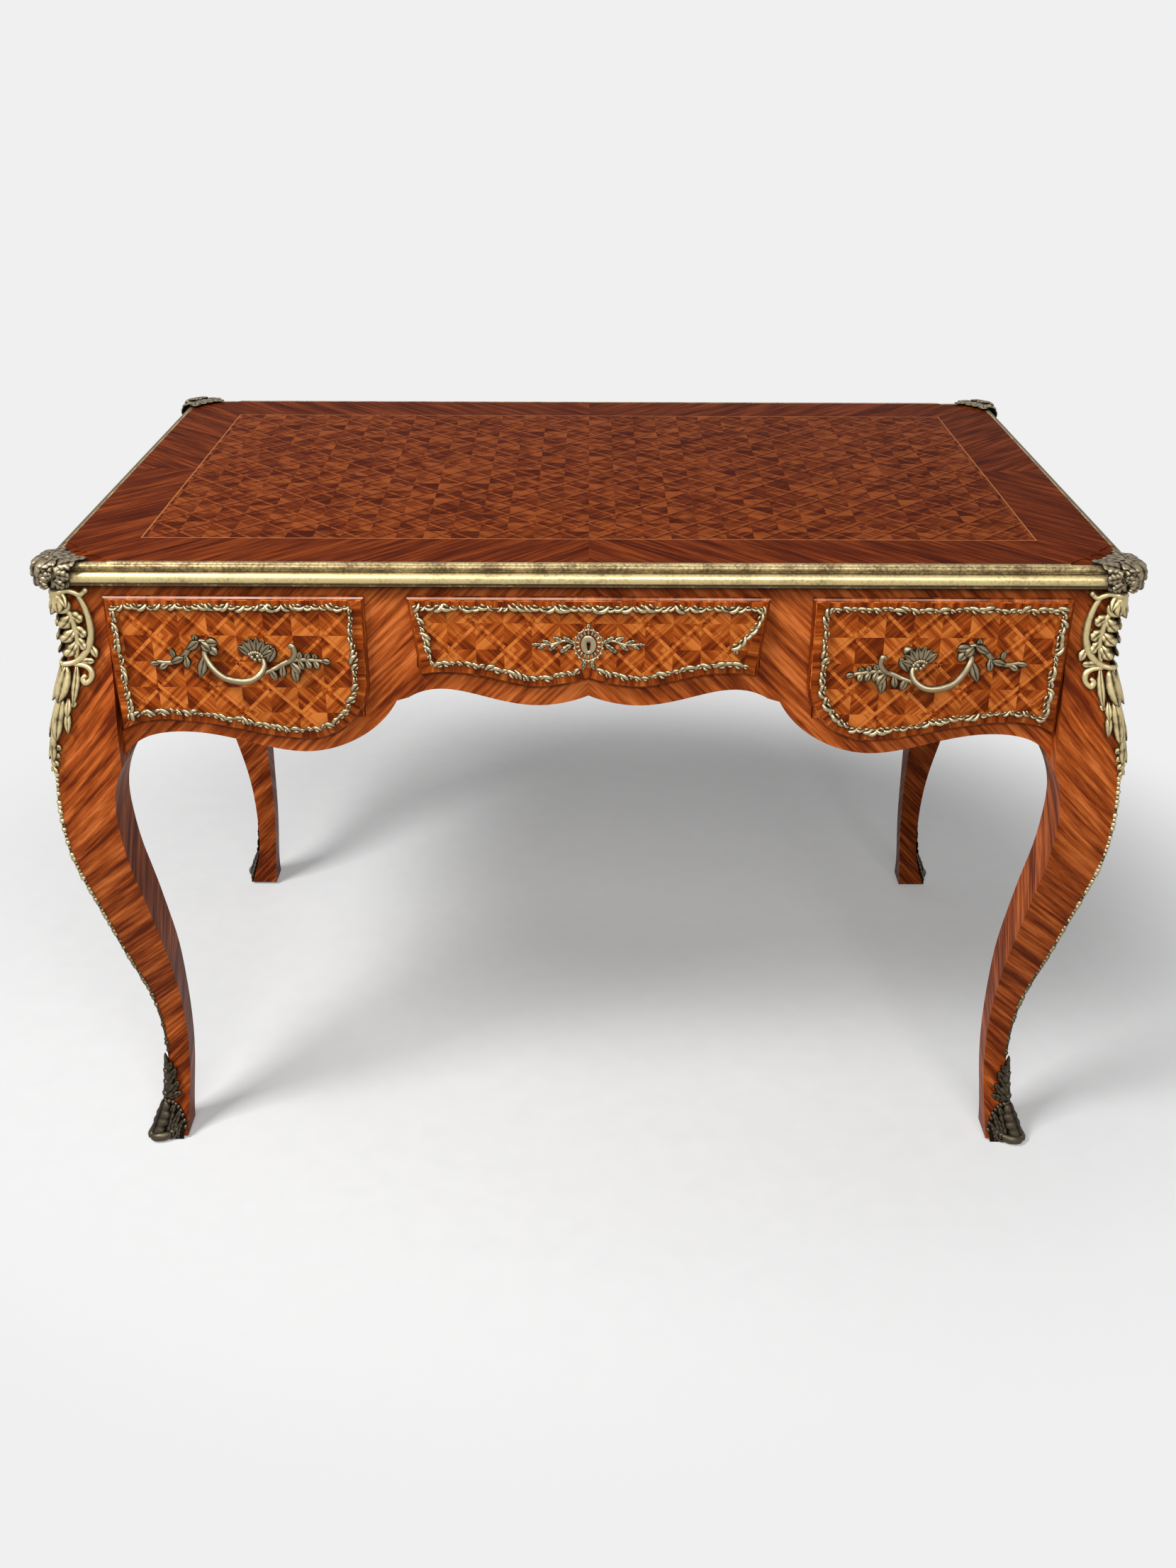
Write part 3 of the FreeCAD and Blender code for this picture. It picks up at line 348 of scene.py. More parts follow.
def cast_brass(name, hollow, raised, roughness, metal=1.0, darken_below=0.0):
    """Cast brass, dark in the hollows, bright from use on the raised parts, and darker and rougher ever further
    below a height.
    """
    finish = Finish(name, Metallic=metal)
    x, y, z = finish.place()
    height = finish.node("ShaderNodeAttribute", {"attribute_name": "relief"}).output("Fac")
    wear = finish.noise(finish.vector(x, y, z), 160.0, 3.0)
    # Darker and rougher ever further below the given height.
    shown = height * 0.75 + wear * 0.5 - (darken_below - z).greater(0.0) * 1.1
    return finish.surface(
        Base_Color=finish.ramp(shown, (0.5, hollow), (0.95, raised)),
        Roughness=roughness + 0.25 - shown * 0.25,
        Normal=finish.bump(wear, 0.0004),
    )


def steel():
    finish = Finish("lock_steel", Metallic=1.0)
    x, y, z = finish.place()
    brushed = finish.noise(finish.vector(x * 40, y * 900, z * 900), 1.0, 3.0)
    return finish.surface(
        Base_Color=finish.ramp(brushed, (0.3, tone(0.2, 0.2, 0.21)), (0.7, tone(0.5, 0.5, 0.5))),
        Roughness=0.3 + brushed * 0.25,
    )


SLOTS = {
    "leg_veneer": leg_veneer(),
    "top_parquetry": top_parquetry(),
    "drawer_parquetry": drawer_parquetry(),
    "drawer_oak": oak("drawer_oak"),
    "carcass_oak": oak("carcass_oak"),
    "rim_brass": brass(
        "rim_brass", tone(0.12, 0.075, 0.028), tone(0.62, 0.49, 0.23), 0.34,
        patch=35.0, metal=0.6, low=RIM_LOW.z, high=RIM_TOP,
    ),
    "aged_brass": brass("aged_brass", tone(0.09, 0.06, 0.03), tone(0.5, 0.4, 0.23), 0.34),
    "gilt_brass": brass("gilt_brass", tone(0.3, 0.2, 0.07), tone(0.82, 0.65, 0.31), 0.3),
    "lock_steel": steel(),
}

# Cast mounts of the same two metals, each aged in its own way: the tones of hollows and raised parts,
# the roughness, how metallic they are and the height below which they grow darker.
CAST = {
    kind: (slot, cast_brass(name, tone(*hollow), tone(*raised), *wear))
    for kind, slot, name, hollow, raised, *wear in (
        ("handle", "aged_brass", "handle_bronze", (0.01, 0.007, 0.004), (0.29, 0.23, 0.14), 0.42),
        ("band", "aged_brass", "band_bronze", (0.012, 0.008, 0.003), (0.43, 0.34, 0.2), 0.34, 0.9),
        ("clasp", "aged_brass", "clasp_bronze", (0.012, 0.009, 0.005), (0.33, 0.265, 0.17), 0.4),
        ("escutcheon", "aged_brass", "escutcheon_bronze", (0.012, 0.008, 0.004), (0.42, 0.34, 0.21), 0.34),
        ("sabot", "aged_brass", "sabot_bronze", (0.012, 0.009, 0.005), (0.085, 0.068, 0.046), 0.4),
        ("knee_mount", "gilt_brass", "knee_gilding", (0.045, 0.027, 0.007), (0.61, 0.49, 0.25), 0.36, 0.75),
        ("strip", "gilt_brass", "strip_gilding", (0.06, 0.035, 0.012), (0.66, 0.54, 0.3), 0.36, 0.75, 0.55),
    )
}

for part in frame["record"]["subparts"]:
    for slot in frame["nodes"][part["node"]].material_slots:
        slot.material = SLOTS[part["material_slot"]]


def linked(name, data):
    """A new object in the scene."""
    item = bpy.data.objects.new(name, data)
    bpy.context.scene.collection.objects.link(item)
    return item


def mesh_object(name, points, faces, edges=()):
    mesh = bpy.data.meshes.new(name)
    mesh.from_pydata(points, edges, faces)
    return linked(name, mesh)


# ---- Castings ----
OUT = Vector((0, 0, 1))
# Across a leaf: the place, the height and the shine at its edge, crown and midrib.
LEAF_HALF = ((-1.0, 0.0, 0.3), (-0.62, 0.32, 0.85), (-0.28, 0.46, 1.0))
LEAF_SECTION = LEAF_HALF + ((0.0, 0.26, 0.35),) + tuple((-q, crown, shine) for q, crown, shine in LEAF_HALF[::-1])


def around(count):
    """Angles of a full turn in even steps."""
    return [2 * math.pi * step / count for step in range(count)]


def smooth(points, steps=6):
    """A rounded path through the points."""
    points = [Vector(point) for point in points]
    path = []
    for i in range(len(points) - 1):
        a, b, c, d = (points[min(max(k, 0), len(points) - 1)] for k in range(i - 1, i + 3))
        for step in range(steps):
            t = step / steps
            square = t * t * (a - 2.5 * b + 2 * c - d / 2)
            cube = t**3 * (1.5 * (b - c) + (d - a) / 2)
            path.append(b + t * (c - a) / 2 + square + cube)
    return path + [points[-1]]


def volute(center, radius, start, turns, out, steps=10):
    """Points of a spiral that winds in to its center; negative turns run clockwise."""
    points = []
    for step in range(steps + 1):
        share = step / steps
        angle = math.radians(start) + share * turns * 2 * math.pi
        reach = radius * (1 - 0.72 * share)
        across, up = center[0] + reach * math.cos(angle), center[1] + reach * math.sin(angle)
        points.append((across, up, out + radius * 0.25 * share))
    return points


class Casting:
    """Raised ornament drawn flat, as (across, up, out), and seated on a surface."""

    def __init__(self, seat):
        self.seat = seat
        self.points, self.faces, self.relief = [], [], []

    def skin(self, rings, relief, rows):
        """Faces over rows of quads between rings of points; after the last ring comes the first again."""
        start, size = len(self.points), len(rings[0])
        for ring, heights in zip(rings, relief):
            self.points += [self.seat(*point) for point in ring]
            self.relief += heights
        for i in range(rows):
            for j in range(size):
                a, b = i * size + j, i * size + (j + 1) % size
                quad = (a, b, b + size, a + size)
                self.faces.append(tuple(start + place % (len(rings) * size) for place in quad))

    def shell(self, rings, relief):
        """A closed body through rings of points, with a face over each end."""
        start, size = len(self.points), len(rings[0])
        self.skin(rings, relief, len(rings) - 1)
        for first in (start, len(self.points) - size):
            self.faces.append(tuple(range(first, first + size)))

    def bar(self, points, width, tip=0.35, flat=0.8, sides=8, steps=5):
        """A rounded bar along a path, full in the middle and thinner at its ends."""
        path = smooth(points, steps)
        rings, relief = [], []
        for i, here in enumerate(path):
            share = i / (len(path) - 1)
            ahead = (path[min(i + 1, len(path) - 1)] - path[max(i - 1, 0)]).normalized()
            side = ahead.cross(OUT).normalized()
            raised = side.cross(ahead)
            reach = width / 2 * (tip + (1 - tip) * math.sin(math.pi * share) ** 0.6)
            turns = around(sides)
            rings.append([here + side * reach * math.cos(t) + raised * reach * flat * math.sin(t) for t in turns])
            relief.append([0.5 + 0.5 * math.sin(t) for t in turns])
        self.shell(rings, relief)

    def bead(self, center, radius):
        center, half = Vector(center), Vector((0, radius, 0))
        self.bar([center - half, center, center + half], 2 * radius, 0.2, steps=3)

    def leaf(self, base, tip, width, bend=0.0, lift=0.0, lobes=3, thick=1.2):
        """A leaf from base to tip, grooved along its midrib, its edge in soft lobes swept forwards."""
        base, tip = Vector(base), Vector(tip)
        run = tip - base
        side = run.cross(OUT).normalized()
        rows = max(8, lobes * 4)
        rings, relief = [], []
        for i in range(rows + 1):
            t = i / rows
            spine = base + run * t + side * bend * math.sin(math.pi * t) + OUT * (lift * t * t)
            lobe = abs(math.sin(math.pi * lobes * t))
            half = width * 0.55 * max(0.05, math.sin(math.pi * (0.1 + 0.9 * t)) ** 0.7) * (0.8 + 0.2 * lobe)
            upper, lower, heights = [], [], []
            for q, crown, shine in LEAF_SECTION:
                swept = spine + side * q * half + run.normalized() * half * 0.35 * abs(q)
                upper.append(swept + OUT * (thick + half * (crown + 0.12 * lobe * abs(q))))
                lower.append(swept)
                heights.append(shine * (0.65 + 0.35 * lobe))
            rings.append(upper + lower[::-1])
            relief.append(heights + [0.0] * len(LEAF_SECTION))
        self.shell(rings, relief)

    def ring(self, outlines, heights):
        """A body with a hole, through closed outlines that lead round it and back."""
        self.skin(outlines, [[height] * len(outlines[0]) for height in heights], len(outlines))

    def post(self, center, radius, inner, outer):
        """A round peg standing out of the face."""
        across, up = center
        turns, rings, relief = around(12), [], []
        for out, share, height in ((inner, 1.0, 0.2), (outer - radius * 0.4, 1.0, 0.6), (outer, 0.6, 1.0)):
            reach = radius * share
            rings.append([(across + reach * math.cos(t), up + reach * math.sin(t), out) for t in turns])
            relief.append([height] * len(turns))
        self.shell(rings, relief)

    def mesh(self, name):
        """A mesh object with its faces outwards and the relief on its points."""
        item = mesh_object(name, self.points, self.faces)
        heights = item.data.attributes.new("relief", "FLOAT", "POINT")
        heights.data.foreach_set("value", self.relief)
        tidy = bmesh.new()
        tidy.from_mesh(item.data)
        bmesh.ops.recalc_face_normals(tidy, faces=tidy.faces)
        tidy.to_mesh(item.data)
        tidy.free()
        item.data.shade_smooth()
        return item

    def piece(self, name, kind, body, *nodes):
        """The finished piece, riding on body in the place of CAD nodes."""
        item = self.mesh(name)
        item.data.materials.append(CAST[kind][1])
        return mounted(item, kind, body, *nodes)


def mounted(item, kind, body, *nodes):
    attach(item, body)
    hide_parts(*nodes)
    return item


MM = 0.001


def flipped(points, x_way, y_way=1):
    """The points at the table's other end if x_way is -1, and at its back if y_way is."""
    return [Vector((x_way * point.x, y_way * point.y, point.z)) for point in points]


def sided(way, *points):
    """A drawing's points on one side of its middle line: way is 1 or -1, or wider or narrower than that."""
    return [(way * point[0], *point[1:]) for point in points]


def on_drawer(center):
    """A seat on the drawers' show face for a drawing in millimetres."""
    return lambda across, up, out: Vector((center.x + across * MM, FACE_Y - out * MM, center.z + up * MM))


# Handle: a bow between a leafy twig on the left and a fan of leaves and a twig on the right.
HANDLE_BOW = [
    (-27, 34, 4), (-34, 26, 6), (-31, 18, 9), (-23, 10, 15), (-12, 3, 20),
    (4, 0, 22.2), (16, 1, 21), (25, 6, 16), (29, 14, 12), (27, 21, 9),
]
HANDLE_TWIGS = [
    [(-88, 14, 2), (-72, 13, 3), (-58, 20, 3), (-50, 30, 4), (-40, 38, 4), (-24, 36, 4)],
    [(27, 5, 12), (38, 8, 7), (48, 13, 5), (60, 17, 4), (76, 17, 4), (92, 15, 3)],
    [(48, 13, 5), (56, 17, 5.5), (61, 25, 6), (59, 34, 6), (55, 32, 6)],
]
HANDLE_LEAVES = [
    ((-82, 13, 2), (-94, 12, 2), 5), ((-74, 13, 2), (-84, 7, 3), 6), ((-72, 13, 3), (-56, 21, 5), 7),
    ((-66, 17, 3), (-70, 31, 3), 5), ((-55, 22, 3), (-54, 8, 3), 7), ((-53, 28, 4), (-38, 40, 6), 8),
    ((-43, 36, 4), (-42, 47, 4), 6), ((-38, 38, 4), (-27, 29, 6), 9), ((-34, 37, 4), (-18, 38, 6), 9),
    ((-31, 35, 4), (-20, 24, 6), 9), ((-34, 23, 5), (-41, -2, 5), 9), ((34, 8, 8), (40, -5, 5), 7),
    ((47, 12, 5), (46, -2, 4), 7), ((55, 15, 4), (66, 3, 5), 8), ((58, 14, 4), (61, -8, 4), 8),
    ((32, 16, 8), (41, 33, 6), 9), ((64, 17, 4), (67, 27, 4), 6), ((64, 17, 4), (69, 7, 4), 6),
    ((72, 17, 4), (75, 26, 4), 6), ((72, 17, 4), (77, 8, 4), 6), ((80, 17, 3), (83, 25, 4), 6),
    ((80, 17, 3), (85, 8, 4), 6), ((88, 16, 3), (98, 15, 3), 6),
]
HANDLE_POSTS = ((-33.0, 28.0), (33.0, 28.0))
HANDLE_PIVOT = Vector((-63, 15, 0))
FAN_HEART = Vector((20, 20, 7))


def handle(droop):
    """The left drawer's handle: its posts stay in place, and its casting hangs some degrees aslant."""
    straight = on_drawer(middle("left_drawer_handle_nuts") - Vector((0, 0, HANDLE_POSTS[0][1] * MM)))
    turn = Matrix.Rotation(-math.radians(droop), 3, "Z")
    casting = Casting(lambda *point: straight(*(turn @ (Vector(point) - HANDLE_PIVOT) + HANDLE_PIVOT)))
    casting.bar(HANDLE_BOW, 7.5, tip=0.7, flat=0.9, sides=12)
    for twig in HANDLE_TWIGS:
        casting.bar(twig, 6.5, 0.6)
    for base, tip, width in HANDLE_LEAVES:
        casting.leaf(base, tip, width * 1.2, lift=2.5, lobes=1)
    for step in range(7):
        angle = math.radians(28 + 18 * step)
        reach = Vector((math.cos(angle), math.sin(angle), 0))
        tip = FAN_HEART + reach * (20 + 6 * math.sin(angle))
        casting.leaf(FAN_HEART + reach * 2, tip, 9, lift=5.0, lobes=1)
        casting.bead(FAN_HEART + reach * 8 + OUT * 4, 2.2)
    for across, up in ((-3, 3), (3, 4), (0, 0), (5, 0)):
        casting.bead(FAN_HEART + Vector((across, up, 5)), 2.4)
    casting.seat = straight
    for place in HANDLE_POSTS:
        casting.post(place, 6, inner=0, outer=4)
        casting.post(place, 3, inner=-27, outer=1)
    return casting


handle(0.0).piece("left_handle", "handle", "left_drawer", "left_drawer_handle")
right_handle = handle(5.0)
right_handle.points = flipped(right_handle.points, -1)
right_handle.piece("right_handle", "handle", "right_drawer", "right_drawer_handle")


def escutcheon():
    """A beaded oval shell round the keyhole, with a leaf spray to each side."""
    casting = Casting(on_drawer(KEYHOLE))
    turns = around(32)

    def oval(width, height, out):
        return [(width / 2 * math.cos(t), height / 2 * math.sin(t), out) for t in turns]

    def keyhole(out):
        return [(1.9 * math.cos(t), max(-7.0, min(2.8, 6.4 * math.sin(t))), out) for t in turns]

    boss = [keyhole(0), keyhole(1.6), oval(15, 19, 2.2), oval(18, 23, 0.8), oval(18, 23, 0)]
    casting.ring(boss, [0, 0.9, 1, 0.3, 0])
    border = [oval(27, 33, 0), oval(27, 33, 2.2), oval(30, 36, 2.6), oval(31, 37, 1.2), oval(31, 37, 0)]
    casting.ring(border, [0, 0.7, 1, 0.6, 0])
    for step in range(18):
        t = 2 * math.pi * (step + 0.5) / 18
        reach = Vector((math.cos(t), math.sin(t) * 1.2, 0))
        casting.bar([reach * 9.5, reach * 12, reach * 14], 2.6, 0.7)
        casting.bead(reach * 15.2 + OUT * 2.4, 1.5)
    for way in (-1, 1):
        casting.bar(sided(way, (14, 1, 1), (26, 5, 1.5), (38, 1, 1.5), (58, 1, 1)), 3.4, 0.5)
        for base, tip, width in (
            ((15, 2), (27, 10), 6), ((18, 1), (30, -8), 7), ((27, 5), (38, 9), 6), ((32, 3), (42, -6), 6),
            ((38, 1), (49, 6), 5), ((44, 1), (54, -4), 4), ((50, 1), (60, 1), 4),
        ):
            casting.leaf(*sided(way, (*base, 1), (*tip, 1)), width, lift=1.0, thick=0.8)
    for base, tip in (((-3, -18), (-6, -28)), ((3, -18), (6, -28)), ((0, 18), (0, 24))):
        casting.leaf((*base, 0.6), (*tip, 0.6), 5, lift=0.6, thick=0.8)
    return casting


escutcheon().piece("keyhole_shell", "escutcheon", "center_drawer", "escutcheon")


# Mounts wrapped round a leg's outer corner, drawn in millimetres across and up.
class LegCorner:
    """Where the front left leg's outer faces are at each height."""

    STEP = 0.004

    def __init__(self):
        node = frame["nodes"]["leg_front_left"]
        tree = BVHTree.FromPolygons([v.co for v in node.data.vertices], [p.vertices for p in node.data.polygons])
        low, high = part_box("leg_front_left")
        heights = [low.z + (step + 0.5) * self.STEP for step in range(int((high.z - low.z) / self.STEP))]
        self.low, self.places = low.z, [self.faces(tree, low, high, z) for z in heights]

    @staticmethod
    def faces(tree, low, high, z):
        """The corner's x and y at a height, from rays into the side and the front."""
        clear, xs, ys = 0.1, [], []
        for share in (0.3, 0.45, 0.6, 0.75):
            beside = Vector((low.x - clear, low.y + share * (high.y - low.y), z))
            before = Vector((low.x + share * (high.x - low.x), low.y - clear, z))
            xs.append(tree.ray_cast(beside, Vector((1, 0, 0)))[0])
            ys.append(tree.ray_cast(before, Vector((0, 1, 0)))[0])
        return min(hit.x for hit in xs if hit), min(hit.y for hit in ys if hit)

    def at(self, z):
        place = min(max((z - self.low) / self.STEP - 0.5, 0), len(self.places) - 1.001)
        index, share = int(place), place % 1
        (x0, y0), (x1, y1) = self.places[index], self.places[index + 1]
        return x0 + (x1 - x0) * share, y0 + (y1 - y0) * share

    def seat(self, across, z, out):
        """across runs from the corner along the front face, or along the side if negative."""
        x, y = self.at(z)
        soft, crown = 0.006, 0.4142
        if across >= soft:
            return Vector((x + across, y - out, z))
        if across <= -soft:
            return Vector((x - out, y - across, z))
        angle = math.pi / 4 * (1 - across / soft)
        reach = soft * (1 + crown * math.sin(2 * angle)) + out
        return Vector((x + soft - reach * math.sin(angle), y + soft - reach * math.cos(angle), z))


corner = LegCorner()


def on_corner(datum, stand=1.0):
    return lambda across, up, out: corner.seat(across * MM, datum + up * MM, out * MM * stand)


KNEE_WIDTH = 0.82
KNEE_SCROLL = [
    (35, -4, 2), (27, -9, 3), (20, -6, 3.5), (11, -4, 4), (2, -6, 6),
    (-3, -14, 6), (0, -23, 6), (7, -25, 6), (12, -19, 6), (8, -14, 6),
]
KNEE_SWEEP = [
    (24, -9, 3), (31, -22, 3), (35, -40, 3.5), (34, -55, 3.5),
    (30, -67, 3.5), (23, -76, 4), (12, -83, 4), (0, -86, 5),
]
KNEE_STEM = [(7, -24, 4), (13, -33, 4), (15, -46, 4), (16, -60, 3.5), (13, -80, 3.5)]
KNEE_CURL = [(10, -86, 4), (24, -87, 4), (33, -92, 4), (35, -100, 4), (29, -106, 4.5), (24, -101, 5), (28, -97, 5)]
KNEE_LEAVES = [
    ((11, -28, 2), (27, -37, 3), 13, 2), ((13, -30, 2), (3, -45, 3), 12, 2), ((15, -44, 2), (29, -54, 3), 12, 2),
    ((15, -46, 2), (3, -60, 4), 12, 2), ((16, -56, 2), (27, -69, 3), 11, 2), ((15, -60, 2), (5, -76, 4), 11, 2),
    ((32, -64, 2), (41, -78, 2), 9, 1), ((18, -82, 3), (38, -82, 2), 9, 2), ((14, -86, 3), (18, -130, 4), 9, 1),
    ((4, -88, 4), (3, -126, 5), 10, 1), ((9, -122, 3), (13, -143, 3), 8, 1), ((10, -134, 3), (17, -161, 2), 8, 1),
    ((3, -122, 3), (5, -168, 3), 8, 2), ((0, -160, 3), (3, -192, 2), 6, 2),
]


def knee_half(casting, way):
    """One face's half of the knee mount: a volute over a C-scroll full of leaves, and leaves hanging below."""
    way *= KNEE_WIDTH
    casting.bar(sided(way, *KNEE_SCROLL), 7.5, 0.7)
    for path, width in ((KNEE_SWEEP, 8.5), (KNEE_STEM, 7), (KNEE_CURL, 7)):
        casting.bar(sided(way, *path), width, 0.6)
    for place, size in (((35, -4, 3), 3.2), ((18, -129, 4), 3.4)):
        casting.bead(*sided(way, place), size)
    for base, tip, width, lobes in KNEE_LEAVES:
        casting.leaf(*sided(way, base, tip), width, lift=2.5, lobes=lobes)


def knee_mount():
    casting = Casting(on_corner(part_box("knee_mount_front_left")[1].z, stand=1.18))
    for way in (1, -1):
        knee_half(casting, way)
    for across, drop in ((-9, -21), (-4, -26), (0, -29), (4, -26), (9, -21)):
        casting.leaf((across / 3, -2, 3), (across, drop, 7), 8, lift=3.0, lobes=1)
    casting.bar([(0, -84, 3), (0, -130, 4), (0, -170, 3), (0, -203, 2)], 7, 0.5)
    for step in range(4):
        up = -172 - 9 * step
        for way in (1, -1):
            tip = (way * (7 - step), up - 8, 2)
            casting.leaf((0, up, 2), tip, 5.5 - 0.4 * step, lift=1.0, lobes=1, thick=0.8)
    return casting


SABOT_HALF, SABOT_SIDE, SABOT_DIP = 33, 16, 34
SHOE_LEAVES = (((10, 46, 2), (12, 4, 3), 13), ((19, 38, 2), (21, 4, 2), 11), ((26, 26, 2), (28, 3, 2), 8))
SHOE_SPRAY = (
    ((0, 58, 3), (13, 80, 2), 11), ((0, 74, 3), (9, 98, 2), 10),
    ((2, 56, 3), (18, 64, 2), 9), ((0, 90, 2), (5, 108, 2), 7),
)


def sabot():
    """A shoe of drooping leaves with a rolled toe, a beaded collar and a leaf up the corner."""
    casting = Casting(on_corner(0.0))
    columns = [-1 + 2 * step / 24 for step in range(25)]
    rings, relief = [], []
    for level in range(9):
        share = level / 8
        rise, out = SABOT_SIDE + SABOT_DIP, 1.5 + 2 * (1 - share)
        outer = [(SABOT_HALF * q, 1 + share * (rise - SABOT_DIP * q * q), out) for q in columns]
        rings.append(outer + [(across, up, 0.0) for across, up, out in outer[::-1]])
        relief.append([0.15] * 2 * len(columns))
    casting.shell(rings, relief)
    for step in range(17):
        q = -1 + step / 8
        casting.bead(((SABOT_HALF - 1) * q, 1 + SABOT_SIDE + SABOT_DIP - SABOT_DIP * q * q, 3.0), 2.6)
    casting.leaf((0, 52, 3), (0, 3, 6), 19, lift=2.0, lobes=5)
    for way in (1, -1):
        for base, tip, width in SHOE_LEAVES:
            casting.leaf(*sided(way, base, tip), width, bend=way * 3.0, lift=1.0, lobes=5)
        casting.bar(sided(way, (0, 8, 9), (6, 8, 8), (12, 8, 6), (17, 8, 4)), 13, 0.5)
        casting.bar(sided(way, *volute((17, 9), 8, start=90, turns=-1.3, out=4)), 4, 0.6)
        for base, tip, width in SHOE_SPRAY:
            casting.leaf(*sided(way, base, tip), width, lift=2.0)
    casting.leaf((0, 54, 3), (0, 120, 2), 11, lift=1.0, lobes=5)
    for up in (62, 78, 94):
        casting.bead((0, up, 6), 3.0)
    return casting


def on_clasp(across, up, out):
    """Round the top's corner: up is negative on the rim's wall and positive on the top, where the relief is low."""
    bend, turn, low_relief = 0.014, 0.006, 0.44
    across, up, out = across * MM, up * MM, out * MM
    if up < -turn:
        drop, inset, lean = -up, 0.0, 0.0
    elif up > turn:
        drop, inset, lean = 0.0, up, math.pi / 2
    else:
        lean = math.pi / 4 * (1 + up / turn)
        drop, inset = turn * (1 - math.sin(lean)), turn * (1 - math.cos(lean))
    away = out * math.cos(lean) - inset
    z = RIM_TOP - drop + out * math.sin(lean) * low_relief
    quarter = bend * math.pi / 4
    if abs(across) <= quarter:
        angle = math.pi / 4 - across / bend
        reach = bend + away
        return Vector((RIM_LOW.x + bend - reach * math.sin(angle), RIM_LOW.y + bend - reach * math.cos(angle), z))
    along = abs(across) - quarter + bend
    if across > 0:
        return Vector((RIM_LOW.x + along, RIM_LOW.y - away, z))
    return Vector((RIM_LOW.x - away, RIM_LOW.y + along, z))


CLASP_LEAVES = (
    ((22, 10, 3), (46, 16, 1), 15), ((20, 0, 4), (38, 4, 2), 15), ((18, -8, 4), (33, -12, 2), 14),
    ((14, -15, 3), (26, -23, 2), 12), ((14, 14, 4), (32, 26, 1), 15), ((5, 14, 4), (14, 29, 1), 13),
    ((4, -12, 6), (16, -8, 6), 10), ((6, -2, 7), (19, 8, 6), 11), ((3, 6, 7), (12, 18, 5), 10),
    ((2, -16, 5), (9, -24, 4), 9),
)


def clasp():
    """A lumpy shell over the top's corner, edged with leaves that lie on the rim."""
    casting = Casting(on_clasp)
    half, low, tall, dip = 30, -24, 48, 12
    rings, relief = [], []
    columns = [-1 + 2 * step / 40 for step in range(41)]
    for level in range(17):
        share = level / 16
        outer, inner, heights = [], [], []
        for q in columns:
            up = low + share * (tall - dip * abs(q))
            ripple = math.cos(9 * math.pi * abs(q) + 3 * math.cos(2 * math.pi * share))
            lumps = 0.5 + 0.5 * ripple * math.cos(5 * math.pi * share + 4 * q)
            swell = math.sin(math.pi * min(1.0, 0.12 + 0.76 * share)) ** 0.7 * (1 - 0.6 * q * q)
            outer.append((half * q, up, 1.2 + 5.2 * swell + 3.2 * lumps * swell))
            inner.append((half * q, up, 0.2))
            heights.append(0.15 + 0.85 * lumps)
        rings.append(outer + inner[::-1])
        relief.append(heights + [0.0] * len(columns))
    casting.shell(rings, relief)
    for way in (1, -1):
        for base, tip, width in CLASP_LEAVES:
            casting.leaf(*sided(way, base, tip), width, lift=2.5)
        for across, up in ((8, -13), (5, 0), (17, 2), (11, 10)):
            casting.bead((way * across, up, 8), 3.0)
    casting.leaf((0, -23, 5), (0, 24, 5), 13, lobes=5)
    for base, tip in (((-18, -16, 3), (-42, -17, 1)), ((-20, -8, 3), (-44, -7, 1))):
        casting.leaf(base, tip, 14, lift=2.5)
    return casting


# Foliate bands on the drawer fronts: small leaves set along the middle of each CAD band.
def front_loops(node):
    """The closed edges of a node's flat front, the narrowest first."""
    source = bmesh.new()
    source.from_mesh(frame["nodes"][node].data)
    bmesh.ops.remove_doubles(source, verts=source.verts, dist=1e-6)
    front_y = min(vert.co.y for vert in source.verts)
    front = {face for face in source.faces if face.normal.y < -0.9 and face.calc_center_median().y < front_y + 1e-4}
    rims = [edge for edge in source.edges if sum(face in front for face in edge.link_faces) == 1]
    loops = []
    while rims:
        loop = list(rims.pop().verts)
        while ahead := next((edge for edge in rims if loop[-1] in edge.verts), None):
            rims.remove(ahead)
            loop.append(ahead.other_vert(loop[-1]))
        loops.append([vert.co.copy() for vert in loop])
    source.free()
    return sorted(loops, key=lambda loop: max(point.x for point in loop) - min(point.x for point in loop))


def nearest(point, others):
    return min(others, key=lambda other: (other - point).length)


def band_path(node):
    """The middle line of a band's front face, as a closed list of points."""
    inner, outer = (spaced(loop, step) for loop, step in zip(front_loops(node), (0.001, 0.004)))
    return [(point + nearest(point, inner)) / 2 for point in outer]


def spaced(points, step):
    """Points along a polyline, a step apart."""
    found, left = [points[0]], step
    for a, b in zip(points, points[1:]):
        run = (b - a).length
        while left <= run:
            found.append(a + (b - a) * (left / run))
            left += step
        left -= run
    return found


